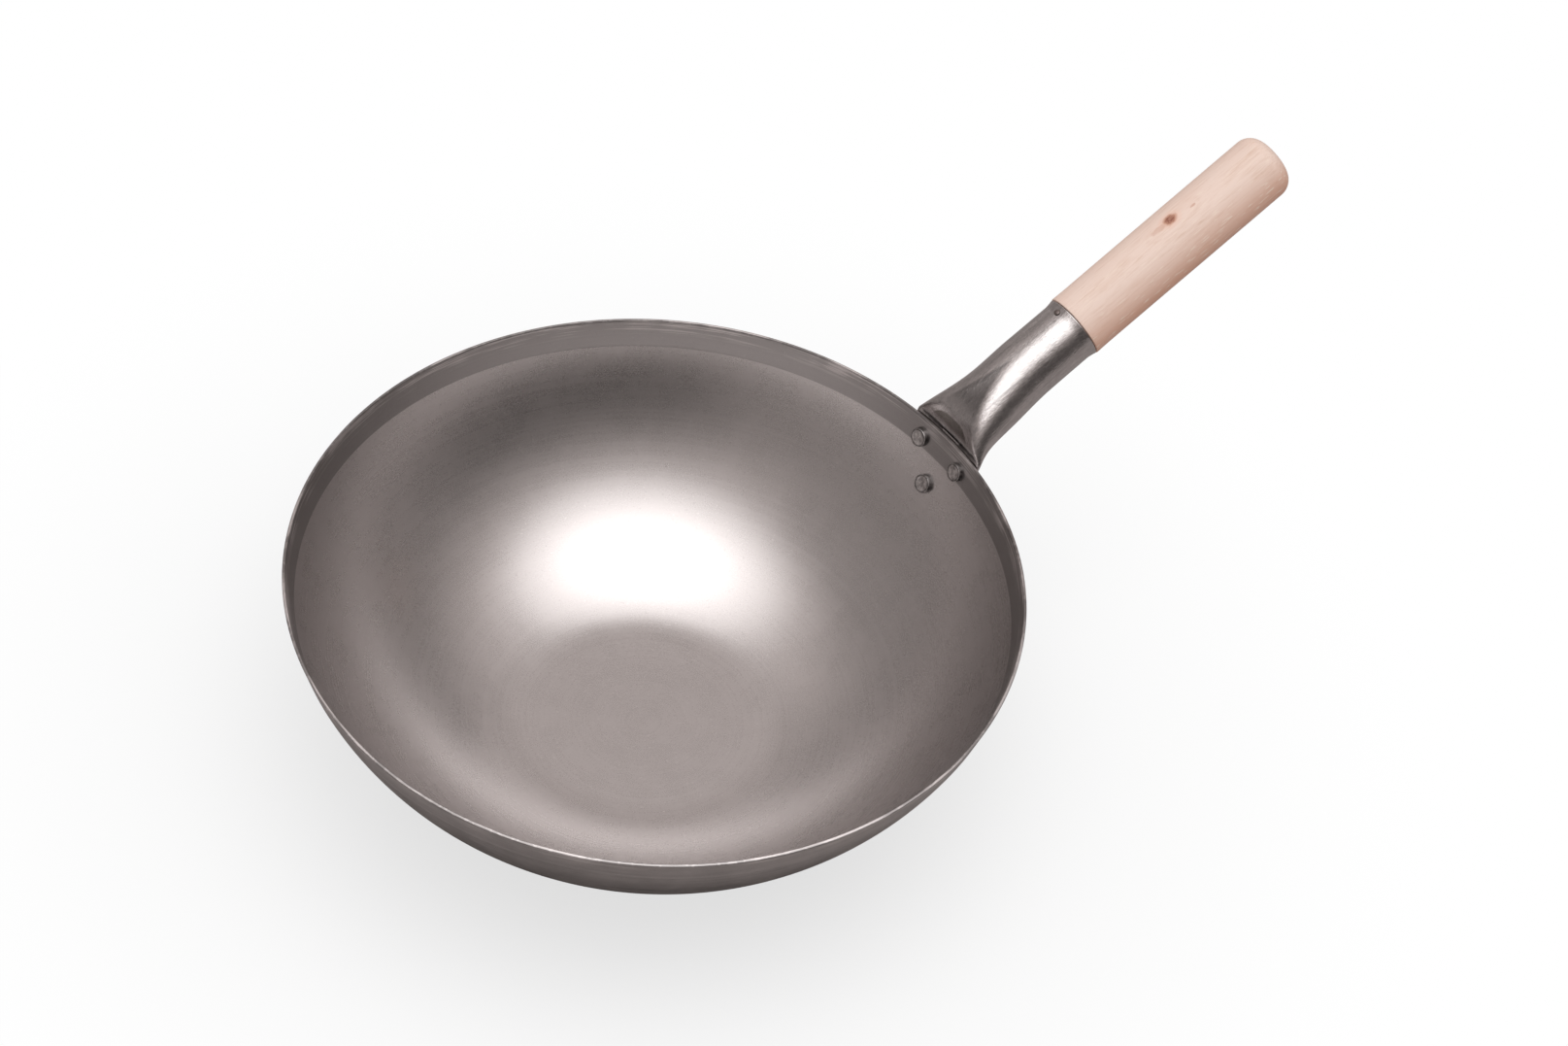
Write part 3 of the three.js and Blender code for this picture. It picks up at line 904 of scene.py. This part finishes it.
def nail_profile(fasteners):
    """Radius and height from the nail's point to the top of its head."""
    head_low = NAIL_STAND * fasteners.nail_head_height
    dome = quarter((0, head_low), (fasteners.nail_head, fasteners.nail_head_height), 0, NAIL_RINGS)
    point = fasteners.nail - fasteners.nail_length
    return [(0, -fasteners.nail_length), (fasteners.nail, point), (fasteners.nail, head_low), *dome]


# Finishes

def new_board(name):
    return Board(bpy.data.materials.new(name))


def metal(board, base, roughness, normal):
    sockets = {"Base Color": base, "Metallic": 1.0, "Roughness": roughness, "Normal": normal}
    board.end(board.node("ShaderNodeBsdfPrincipled", {}, sockets))
    return board.owner


# Marks on the bowl: fades below the rim, fades from the axis, and levels of noise at which a mark shows
SCUFF_ZONE = mm(9, 2)
BAND_START = mm(14.5, 14.1)
EDGE_START = mm(1.3, 0.9)
CENTRE_RING = mm(7.6, 8.4, 8.6, 9.6)
# A lighter ring where the wall leaves the base: painted reflection, standing in for the lamp mirrored twice
# in the bowl
PAINTED_REFLECTION_RING = mm(68, 82, 105, 125)
OUTSIDE_TURN = mm(-0.01, 0.01)
OUTSIDE_LEAN = 0.2
SCUFF_LIMITS = (0.5, 0.62)
NICK_LIMITS = (0.52, 0.6)
PIT_LIMITS = (0.68, 0.74)
TICK_LIMITS = (0.7, 0.76)
BOWL_RELIEF = 0.006 * MM


def bowl_steel(bowl, finish):
    """Bare rolled sheet: grit, clouds, faint turning rings, scuffs, and a duller rim band and outside. A
    lighter ring above the base is painted reflection; the band and the outside are darkened partly as
    painted shade, and the cut edge between its nicks as painted shade.
    """
    board = new_board("bare_bowl_steel")
    place = board.place()
    x, y, z = axes = board.parts(place)
    radius = from_centre(x, y)
    face_x, face_y, face_z = board.parts(board.node("ShaderNodeNewGeometry", {}, {}, "Normal"))
    lean = OUTSIDE_LEAN * bowl.rim_radius
    outside = (face_x * x + face_y * y - face_z * lean).above(*OUTSIDE_TURN)

    def near_rim(start, end):
        return z.above(bowl.height - start, bowl.height - end)

    rings = board.streaks((x, y, radius + z), across=3, along=500, detail=3, roughness=0.6)
    turned = board.streaks(axes, across=10, along=420, detail=4, roughness=0.65)
    grit = board.noise(place, scale=1500, detail=3, roughness=0.7)
    clouds = board.noise(place, scale=60, detail=4, roughness=0.6)
    scuff_lines = board.streaks(axes, across=22, along=1300, detail=3, roughness=0.65)
    scuff_patches = board.noise(place, scale=35)
    scuffs = (scuff_lines + scuff_patches.swing(0.5)).above(*SCUFF_LIMITS) * near_rim(*SCUFF_ZONE)
    nicks = board.noise(place, scale=260, roughness=0.6).above(*NICK_LIMITS)
    pits = board.noise(place, scale=700, detail=1).above(*PIT_LIMITS)
    ticks = board.noise(board.vector(x * 500, y * 900, z * 900), scale=1, detail=1).above(*TICK_LIMITS)
    band = near_rim(*BAND_START) * (1 - outside)
    # The cut edge between its nicks, which gets painted shade
    edge_shade_mask = near_rim(*EDGE_START) * (1 - nicks)
    tone = 0.5 + grit.swing(0.7) + clouds.swing(0.45) + rings.swing(0.35)
    # Lightens a ring above the base as painted reflection
    tone = tone - radius.between(*CENTRE_RING) * 0.12 + radius.between(*PAINTED_REFLECTION_RING) * 0.25
    tone = tone - pits * 0.35 + ticks * 0.5 + outside * (turned.swing(2.4) + clouds.swing(1.4))
    base = board.tones(tone, finish.bowl, darkest=0.86, lightest=1.14)
    # Darkens the rim band: partly a duller finish, partly painted shade
    base = board.darken(base, band * finish.band_dull_and_shade)
    # Darkens the outside: partly a duller finish, partly painted shade
    base = board.darken(base, outside * finish.outside_dull_and_shade)
    # Darkens the cut edge between its nicks as painted shade
    base = board.darken(base, edge_shade_mask * finish.edge_shade)
    base = board.blend(scuffs * 0.55, base, shade(finish.bowl, 1.7))
    sheen = finish.bowl_sheen + clouds.swing(0.06) + rings.swing(0.05) + grit.swing(0.06)
    sheen = sheen + scuffs * 0.1 + band * 0.05 + outside * (0.1 + turned.swing(0.25))
    relief = grit * 0.6 + rings * 0.4 + scuffs * 0.8
    return metal(board, base, sheen, board.bump(relief, BOWL_RELIEF))


# The hollow, which gets painted shade, and the painted dark reflection and shade on the bend: distances from
# the mouth down the handle and from its top line, and fades
HOLLOW_START = 34.5 * MM
HOLLOW_LENGTH = 40.5 * MM
HOLLOW_WIDTH = 12 * MM
HOLLOW_SPREAD = 1.6
HOLLOW_FRAY = 1.2 * MM
HOLLOW_EDGE = mm(-0.9, 1.1)
HOLLOW_END = (0.76, 1.02)
TOP_SIDE = mm(-1, 1)
# Where the painted dark reflection and shade lies on the bend, and where it fades out at the gap
BEND_SHADE_MIDDLE = 1 * MM
BEND_SHADE_WIDTH = 14 * MM
BEND_SHADE_START = 77.5 * MM
BEND_SHADE_SAG = 4.7 * MM
BEND_SHADE_FRAY = 0.8 * MM
BEND_SHADE_EDGE = mm(-0.3, 0.5)
BEND_SHADE_SIDE = mm(-8, -4)
BEND_SHADE_FADE = mm(80.5, 82.5)
LINE_LIMITS = (0.6, 0.68)
SOCKET_RELIEF = 0.17 * MM


def socket_steel(spine, finish):
    """Tube brushed lengthwise, with drawn lines, a slightly rougher hollow above the rim darkened as painted
    shade, and painted dark reflection and shade on its bend.
    """
    board = new_board("brushed_socket_steel")
    x, y, z = axes = board.parts(in_frame(board, spine.handle_frame()))
    up, down = -x, -z
    drawn = board.streaks(axes, across=650, along=200, detail=4, roughness=0.7)
    grit = board.streaks(axes, across=2200, along=900, roughness=0.6)
    clouds = board.noise(board.place(), scale=80, detail=3)
    lines = board.streaks(axes, across=420, along=9).above(*LINE_LIMITS)
    reach = (down - HOLLOW_START) / HOLLOW_LENGTH
    half_width = reach.at_least(0.0) ** HOLLOW_SPREAD * HOLLOW_WIDTH
    aside = abs(y) + drawn.swing(HOLLOW_FRAY)
    hollow = (half_width - aside).above(*HOLLOW_EDGE) * (1 - reach.above(*HOLLOW_END)) * up.above(*TOP_SIDE)
    # Painted dark reflection and shade on the bend over the rim, standing in for the bowl and the shadowed
    # gap mirrored there
    sag = abs((y - BEND_SHADE_MIDDLE) / BEND_SHADE_WIDTH) ** 3 * BEND_SHADE_SAG
    bend_shade_edge = sag + BEND_SHADE_START + drawn.swing(BEND_SHADE_FRAY)
    bend_shade = (down - bend_shade_edge).above(*BEND_SHADE_EDGE) * up.above(*BEND_SHADE_SIDE)
    bend_shade = bend_shade * (1 - down.above(*BEND_SHADE_FADE) * 0.85)
    tone = 0.5 + drawn.swing(1.3) + grit.swing(1.4) + clouds.swing(0.5) - lines * 0.5
    base = board.tones(tone, finish.socket, darkest=0.7, lightest=1.14)
    # Painted shade in the hollow above the rim
    base = board.darken(base, hollow * finish.hollow_shade)
    # Lays the painted dark reflection and shade over the bend
    base = board.blend(bend_shade * finish.bend_shade_cover, base, shade(finish.bend_shade))
    sheen = finish.socket_sheen + drawn.swing(0.2) + clouds.swing(0.06) + lines * 0.05 + hollow * 0.08
    return metal(board, base, sheen, board.bump(drawn * 0.6 + grit * 0.4, SOCKET_RELIEF))


# Fades of the darker ring on a rivet's head, partly soiling and partly painted shade, and of the painted
# shade on its side, as shares of its radius
DIRT_AND_SHADE_RING = (0.72, 0.84, 0.9, 0.95)
SIDE_SHADE = (0.95, 0.99)
RIVET_RELIEF = 0.06 * MM


def rivet_steel(finish):
    """Steel with the dull and bright patches that hammering leaves, a darker ring near the edge of the head
    that is partly soiling and partly painted shade, and painted shade on the head's side.
    """
    board = new_board("hammered_rivet_steel")
    patches = board.noise(board.place(), scale=520, detail=3, roughness=0.65)
    grit = board.noise(board.place(), scale=2200, roughness=0.6)
    from_axis = board.node("ShaderNodeAttribute", {"attribute_name": FROM_AXIS}, {}, "Fac")
    dirt_and_shade = from_axis.between(*DIRT_AND_SHADE_RING) + from_axis.above(*SIDE_SHADE)
    tone = 0.5 + patches.swing(3) + grit.swing(1)
    base = board.tones(tone, finish.rivet, darkest=0.55, lightest=1.5)
    # Darkens that ring, partly soiling and partly painted shade, and the head's side as painted shade
    base = board.darken(base, dirt_and_shade * 0.6)
    sheen = finish.rivet_sheen + patches.swing(0.25)
    return metal(board, base, sheen, board.bump(patches * 0.6 + grit * 0.4, RIVET_RELIEF))


NAIL_SHEEN = 0.45
NAIL_RELIEF = 0.02 * MM


def nail_steel(finish):
    """Dark oily steel wire; its darkness is partly painted shade of the dimple round the nail's head."""
    board = new_board("dark_nail_steel_and_shade")
    grit = board.noise(board.place(), scale=1800, detail=3, roughness=0.6)
    base = board.tones(grit, finish.nail, darkest=0.6, lightest=1.5)
    return metal(board, base, NAIL_SHEEN + grit.swing(0.2), board.bump(grit, NAIL_RELIEF))


def in_frame(board, place):
    """The point on the surface, in another frame."""
    sockets = {"Vector": board.place(), "Location": place.to_translation(), "Rotation": place.to_euler()}
    return board.node("ShaderNodeMapping", {"vector_type": "TEXTURE"}, sockets)


# Square of the distance from a spot's middle, as a share of its size
SPOT_FADE = (0.25, 1.0)


def spot(along_grain, across, centre, half_length, half_width):
    """1 in the middle of an oval spot on the grip, 0 outside it."""
    u = (along_grain - centre[0]) / half_length
    v = (across - centre[1]) / half_width
    return 1 - (u * u + v * v).above(*SPOT_FADE)


# Growth rings, marks beside the knot by their place along and across the grip, and levels of noise
PITH = mm(75, 12)
RING_WIDTH = 1.9 * MM
RING_BEND = 2.2
RING_LEAN = 9
RING_SWIRL = 0.9
RING_SHARPNESS = 2.5
KNOT_FRAY = mm(2.4, 1.6)
STAIN_PLACE = mm(-7.5, -0.3)
STAIN_SIZE = mm(6.5, 1.9)
DASH_PLACE = mm(13.5, -2.4)
DASH_SIZE = mm(2, 0.8)
# Angles of the grip's lower right side, which gets browner streaks and painted shade
RIGHT_SIDE = (0.4, 1.7, 2.2, 3)
FLECK_LIMITS = (0.6, 0.72)
SCRATCH_LIMITS = (0.63, 0.72)
BLUSH_LIMITS = (0.4, 0.85)
WOOD_SHEEN = 0.56
WOOD_GLOSS = 0.3
WOOD_RELIEF = 0.06 * MM


def grip_wood(spine, grip, finish):
    """Raw pale wood: growth rings cut lengthwise, fibres, a knot with its stain, streaks and scratches, and
    a browner lower right side that is partly painted shade.
    """
    board = new_board("raw_grip_wood")
    local = in_frame(board, spine.handle_frame())
    x, y, z = axes = board.parts(local)
    angle = y.angle_from(-x)
    across = angle * grip.radius
    knot = np.array([grip.knot_place, grip.knot_turn * grip.radius])
    fray = board.noise(local, scale=420) - 0.5
    ragged, ragged_across = z + fray * KNOT_FRAY[0], across + fray * KNOT_FRAY[1]

    def on_knot(long, wide, grain=(ragged, ragged_across)):
        return spot(*grain, knot, long * grip.knot_radius, wide * grip.knot_radius)

    core = on_knot(long=1.6, wide=1.2)
    halo = on_knot(long=2.6, wide=1.9)
    heart = on_knot(long=1.1, wide=0.9)
    swirl = on_knot(long=7, wide=3, grain=(z, across))
    stain = spot(ragged, ragged_across, knot + STAIN_PLACE, *STAIN_SIZE)
    dash = spot(ragged, across, knot + DASH_PLACE, *DASH_SIZE)
    bend = board.streaks(axes, across=30, along=12)
    pith = from_centre(x - PITH[0], y - PITH[1])
    phase = pith / RING_WIDTH + bend * RING_BEND + z * RING_LEAN + swirl * RING_SWIRL
    rings = ((phase * (2 * math.pi)).sine() * 0.5 + 0.5) ** RING_SHARPNESS
    fibre = board.streaks(axes, across=900, along=70, detail=4, roughness=0.75)
    flecks = board.streaks(axes, across=600, along=60).above(*FLECK_LIMITS)
    scratch = board.streaks(axes, across=1000, along=130, detail=1, roughness=0.4).above(*SCRATCH_LIMITS)
    streaks = board.streaks(axes, across=180, along=14, detail=3, roughness=0.6)
    clouds = board.noise(local, scale=28, detail=3)
    speck = board.noise(local, scale=900, roughness=0.6)
    right_side = (-angle).between(*RIGHT_SIDE)
    blush = (clouds + y / (2 * grip.radius)).above(*BLUSH_LIMITS)
    dark = rings * 0.13 + fibre.swing(1.7) + clouds.swing(0.45) + flecks * 0.3 + 0.03
    base = board.blend(dark, shade(finish.wood), shade(finish.wood_late))
    base = board.blend(blush * 0.5, base, shade(finish.wood_blush))
    # Browner lower right side: partly brown streaks, partly painted shade
    base = board.blend(right_side * (0.25 + streaks), base, shade(finish.wood_warm_and_shade))
    base = board.blend(scratch * (0.45 + right_side * 0.45), base, shade(finish.wood_light))
    base = board.blend(halo * 0.3, base, shade(finish.knot_halo))
    stained = (core * 0.95).at_least(stain * 0.4).at_least(dash * 0.6)
    base = board.blend(stained, base, shade(finish.knot_rim))
    base = board.blend(heart * (speck * 2.2 - 0.4), base, shade(finish.knot))
    relief = fibre * 0.5 + rings * 0.15 - flecks * 0.5 + scratch * 0.4 - core * 0.6
    sockets = {"Base Color": base, "Roughness": WOOD_SHEEN + fibre.swing(0.2) - core * 0.1,
               "Normal": board.bump(relief, WOOD_RELIEF), "Specular IOR Level": WOOD_GLOSS}
    board.end(board.node("ShaderNodeBsdfPrincipled", {}, sockets))
    return board.owner


# Operators

def settings():
    scene = bpy.context.scene
    return scene.wok_bowl, scene.wok_socket, scene.wok_grip, scene.wok_fasteners, scene.wok_finish


def wok_lines():
    """The bowl's profile and the handle's spine, which the pieces share."""
    bowl, socket, _, fasteners, _ = settings()
    profile = BowlProfile(bowl)
    return profile, HandleSpine(profile, socket, fasteners)


class WOK_OT_bowl(bpy.types.Operator):
    """Makes the pressed bowl with its cut rim and rivet holes."""
    bl_idname = "wok.make_bowl"
    bl_label = "Make bowl"

    def execute(self, context):
        bowl, socket, _, fasteners, finish = settings()
        profile, _ = wok_lines()
        points, faces = lathe(bowl_profile_points(profile, bowl), bowl.segments)
        mesh = mesh_of("pressed_bowl", wavy(points, bowl), faces)
        mesh = drilled(mesh, rivet_rods(profile, socket, fasteners))
        dress("pressed_bowl", mesh, bowl_steel(bowl, finish), "wok_bowl")
        return {"FINISHED"}


class WOK_OT_socket(bpy.types.Operator):
    """Makes the tube that is squashed into a tongue and riveted to the wall."""
    bl_idname = "wok.make_socket"
    bl_label = "Make socket"

    def execute(self, context):
        _, socket, _, fasteners, finish = settings()
        profile, spine = wok_lines()
        rings = socket_rings(spine, socket)
        points, faces = skin(rings, rings[0].mean(0), rings[-1].mean(0))
        rods = rivet_rods(profile, socket, fasteners) + nail_rods(spine, socket, fasteners)
        mesh = drilled(mesh_of("squashed_socket", points, faces), rods)
        dress("squashed_socket", mesh, socket_steel(spine, finish), "handle_socket")
        return {"FINISHED"}


class WOK_OT_grip(bpy.types.Operator):
    """Makes the turned wooden grip with its tenon."""
    bl_idname = "wok.make_grip"
    bl_label = "Make grip"

    def execute(self, context):
        _, socket, grip, fasteners, finish = settings()
        _, spine = wok_lines()
        points, faces = lathe(grip_profile(spine, socket, grip), grip.segments)
        points = placed(hand_finished(points, grip), spine.handle_frame())
        mesh = drilled(mesh_of("turned_grip", points, faces), nail_rods(spine, socket, fasteners))
        dress("turned_grip", mesh, grip_wood(spine, grip, finish), "wood_grip")
        return {"FINISHED"}


class WOK_OT_rivets(bpy.types.Operator):
    """Makes the three rivets, each with its own hammer marks."""
    bl_idname = "wok.make_rivets"
    bl_label = "Make rivets"

    def execute(self, context):
        bowl, socket, _, fasteners, finish = settings()
        profile, _ = wok_lines()
        material = rivet_steel(finish)
        for seed, (node, place) in enumerate(rivet_places(profile, fasteners).items()):
            name = "hammered_" + node
            dress(name, rivet_mesh(name, place, socket, bowl, fasteners, seed), material, node)
        return {"FINISHED"}


class WOK_OT_nail(bpy.types.Operator):
    """Makes the nail that pins the grip in the socket."""
    bl_idname = "wok.make_nail"
    bl_label = "Make nail"

    def execute(self, context):
        _, socket, _, fasteners, finish = settings()
        _, spine = wok_lines()
        points, faces = lathe(nail_profile(fasteners), fasteners.segments)
        points = placed(points, nail_place(spine, socket, fasteners))
        dress("pinning_nail", mesh_of("pinning_nail", points, faces), nail_steel(finish), "grip_nail")
        return {"FINISHED"}


# Studio

def towards_camera(studio):
    return Vector((-math.sin(studio.handle_turn), -math.cos(studio.handle_turn), 0))


def camera_right(studio):
    return Vector((math.cos(studio.handle_turn), -math.sin(studio.handle_turn), 0))


def camera_axes(studio):
    """The camera's right, up and backward directions."""
    level = camera_right(studio)
    near = math.cos(studio.elevation) * towards_camera(studio)
    back = near + math.sin(studio.elevation) * Vector((0, 0, 1))
    plumb = back.cross(level)
    c, s = math.cos(studio.roll), math.sin(studio.roll)
    return c * level + s * plumb, c * plumb - s * level, back


def make_camera(studio, rim_centre):
    right, up, back = camera_axes(studio)
    data = bpy.data.cameras.new("camera")
    data.sensor_fit = "HORIZONTAL"
    data.sensor_width = studio.sensor
    data.lens = studio.focal_pixels * studio.sensor / PHOTO_WIDTH
    camera = bpy.data.objects.new("camera", data)
    place = rim_centre - studio.shift_right * right - studio.shift_up * up + studio.distance * back
    camera.matrix_world = Matrix.Translation(place) @ Matrix((right, up, back)).transposed().to_4x4()
    bpy.context.scene.collection.objects.link(camera)
    bpy.context.scene.camera = camera


def make_lamp(name, studio, rim_centre, distance, radius, radiance):
    """An oval lamp over the wok, wider across the picture, that is as bright as asked."""
    data = bpy.data.lights.new(name, "AREA")
    data.shape = "ELLIPSE"
    data.size = 2 * radius * studio.lamp_stretch
    data.size_y = 2 * radius / studio.lamp_stretch
    data.energy = radiance * (math.pi * radius) ** 2
    lamp = bpy.data.objects.new(name, data)
    right, near = camera_right(studio), towards_camera(studio)
    lean = math.tan(studio.lamp_lean) * near + math.tan(studio.lamp_aside) * right
    towards_lamp = (Vector((0, 0, 1)) + lean).normalized()
    across = (right - right.dot(towards_lamp) * towards_lamp).normalized()
    axes = Matrix((across, towards_lamp.cross(across), towards_lamp)).transposed().to_4x4()
    lamp.matrix_world = Matrix.Translation(rim_centre + distance * towards_lamp) @ axes
    bpy.context.scene.collection.objects.link(lamp)


# The bright middle hangs this far below the softbox, so that the two do not share a plane
LAMP_STEP = 50 * MM


def make_softbox(studio, rim_centre):
    """A softbox that is brighter in the middle."""
    far, near = studio.lamp_distance, studio.lamp_distance - LAMP_STEP
    make_lamp("softbox", studio, rim_centre, far, studio.lamp_radius, studio.lamp_radiance)
    make_lamp("softbox_middle", studio, rim_centre, near, studio.middle_radius, studio.middle_radiance)


def make_world(studio):
    """White for the camera, dimmer and warm in the metal, and a soft fill for the rest."""
    world = bpy.data.worlds.new("studio")
    board = Board(world)
    seen, mirrored = board.ray("Is Camera Ray"), board.ray("Is Glossy Ray")
    strength = studio.fill + seen * (1 - studio.fill) + mirrored * (studio.mirrored - studio.fill)
    tint = board.blend(mirrored, WHITE, shade(studio.mirrored_tint))
    shader = board.node("ShaderNodeBackground", {}, {"Color": tint, "Strength": strength})
    board.end(shader, "ShaderNodeOutputWorld")
    world.cycles.sampling_method = "NONE"
    bpy.context.scene.world = world


def stage_piece(name, points, faces, material):
    mesh = bpy.data.meshes.new(name)
    mesh.from_pydata([tuple(p) for p in points], [], faces)
    mesh.materials.append(material)
    piece = bpy.data.objects.new(name, mesh)
    bpy.context.scene.collection.objects.link(piece)
    return piece


def floor_finish(studio):
    """A pale matt floor: white round the wok, a soft shadow by it, and duller in the light it throws, with a
    painted shadow under the bowl that only the metal and the thrown light show.
    """
    board = new_board("pale_floor")
    x, y, _ = board.parts(board.place())
    radius = from_centre(x, y)
    # Painted shadow under the bowl for all rays but the camera's, fading out between the two foot distances
    open_floor = radius.above(studio.foot_near, studio.foot_far)
    dim = board.mix(open_floor, board.matt(studio.floor_foot_shadow), board.matt(studio.floor_bounce))
    away = radius.above(studio.floor_near, studio.floor_far)
    white = board.node("ShaderNodeEmission", {}, {"Color": WHITE, "Strength": 1.0})
    lifted = studio.floor_white + away * (1 - studio.floor_white)
    pale = board.mix(lifted, board.matt(studio.floor), white)
    board.end(board.mix(board.ray("Is Camera Ray"), dim, pale))
    return board.owner


FLOOR_SIDES = 64
WALL_STEPS = 96


def make_floor(studio):
    points = circle(FLOOR_SIDES) * studio.floor_size
    stage_piece("floor", points, [tuple(range(FLOOR_SIDES))], floor_finish(studio))


# Fades across the studio's wall, as shares of its distance, and up it
WALL_SIDES = (-0.4, 0.4)
WALL_DARK = (0.4, 0.95)
FLAG_ASIDE = (0.68, 0.9)
FLAG_HEIGHT = mm(450, 600)


def wall_finish(studio):
    """Dark at the foot, darkest behind the camera, and white at the top."""
    board = new_board("studio_wall")
    x, y, z = board.parts(board.place())
    right, back = camera_right(studio), towards_camera(studio)
    darkest = math.cos(studio.wall_dark_turn) * back + math.sin(studio.wall_dark_turn) * right
    to_right = (x * right.x + y * right.y) / studio.wall_distance
    to_dark = (x * darkest.x + y * darkest.y) / studio.wall_distance
    to_left = -to_right
    foot = studio.wall_left_glow
    foot = foot + to_right.above(*WALL_SIDES) * (studio.wall_right_glow - studio.wall_left_glow)
    foot = foot + to_dark.above(*WALL_DARK) * (studio.wall_dark_glow - foot)
    glow = foot + (1 - foot) * z.above(studio.wall_plain, studio.wall_height)
    flag = to_left.above(*FLAG_ASIDE) * z.above(*FLAG_HEIGHT)
    glow = glow + flag * (studio.flag_glow - glow)
    paint = board.blend(glow, BLACK, shade(studio.mirrored_tint))
    board.end(board.node("ShaderNodeEmission", {}, {"Color": paint, "Strength": studio.mirrored}))
    board.owner.cycles.emission_sampling = "NONE"
    return board.owner


def make_wall(studio):
    """A wall round the wok, open at the far side. The metal mirrors it and the camera looks through it."""
    middle = math.atan2(towards_camera(studio).y, towards_camera(studio).x)
    half = math.pi - studio.wall_gap / 2
    turns = middle + np.linspace(-half, half, WALL_STEPS)
    ring = np.stack([np.cos(turns), np.sin(turns)], 1) * studio.wall_distance
    points = [(*p, z) for z in (0, studio.wall_height) for p in ring]
    faces = [(i, i + 1, WALL_STEPS + i + 1, WALL_STEPS + i) for i in range(WALL_STEPS - 1)]
    wall = stage_piece("studio_wall", points, faces, wall_finish(studio))
    wall.visible_camera = False
    wall.visible_diffuse = False


class WOK_OT_studio(bpy.types.Operator):
    """Makes the camera, the softbox, the floor and the surroundings."""
    bl_idname = "wok.make_studio"
    bl_label = "Make studio"

    def execute(self, context):
        studio = context.scene.wok_studio
        rim_centre = Vector((0, 0, context.scene.wok_bowl.height))
        make_camera(studio, rim_centre)
        make_softbox(studio, rim_centre)
        make_world(studio)
        make_floor(studio)
        make_wall(studio)
        context.scene.view_settings.view_transform = "Standard"
        return {"FINISHED"}


class WOK_PT_panel(bpy.types.Panel):
    """Lists the operators and the sizes."""
    bl_idname = "WOK_PT_panel"
    bl_label = "Wok"
    bl_space_type = "VIEW_3D"
    bl_region_type = "UI"
    bl_category = "Wok"

    def draw(self, context):
        for operator in OPERATORS:
            self.layout.operator(operator.bl_idname)
        for name, group in GROUPS.items():
            box = self.layout.box()
            box.label(text=group.__doc__)
            for field in group.__annotations__:
                box.prop(getattr(context.scene, name), field)


GROUPS = {
    "wok_bowl": WokBowl,
    "wok_socket": WokSocket,
    "wok_grip": WokGrip,
    "wok_fasteners": WokFasteners,
    "wok_finish": WokFinish,
    "wok_studio": WokStudio,
}
OPERATORS = (WOK_OT_bowl, WOK_OT_socket, WOK_OT_grip, WOK_OT_rivets, WOK_OT_nail, WOK_OT_studio)


def register():
    for made in (*GROUPS.values(), *OPERATORS, WOK_PT_panel):
        bpy.utils.register_class(made)
    for name, group in GROUPS.items():
        setattr(bpy.types.Scene, name, PointerProperty(type=group))


def unregister():
    for name in GROUPS:
        delattr(bpy.types.Scene, name)
    for made in (WOK_PT_panel, *OPERATORS, *GROUPS.values()):
        bpy.utils.unregister_class(made)


def main():
    register()
    bpy.ops.wok.make_bowl()
    bpy.ops.wok.make_socket()
    bpy.ops.wok.make_grip()
    bpy.ops.wok.make_rivets()
    bpy.ops.wok.make_nail()
    bpy.ops.wok.make_studio()


if __name__ == "__main__":
    main()
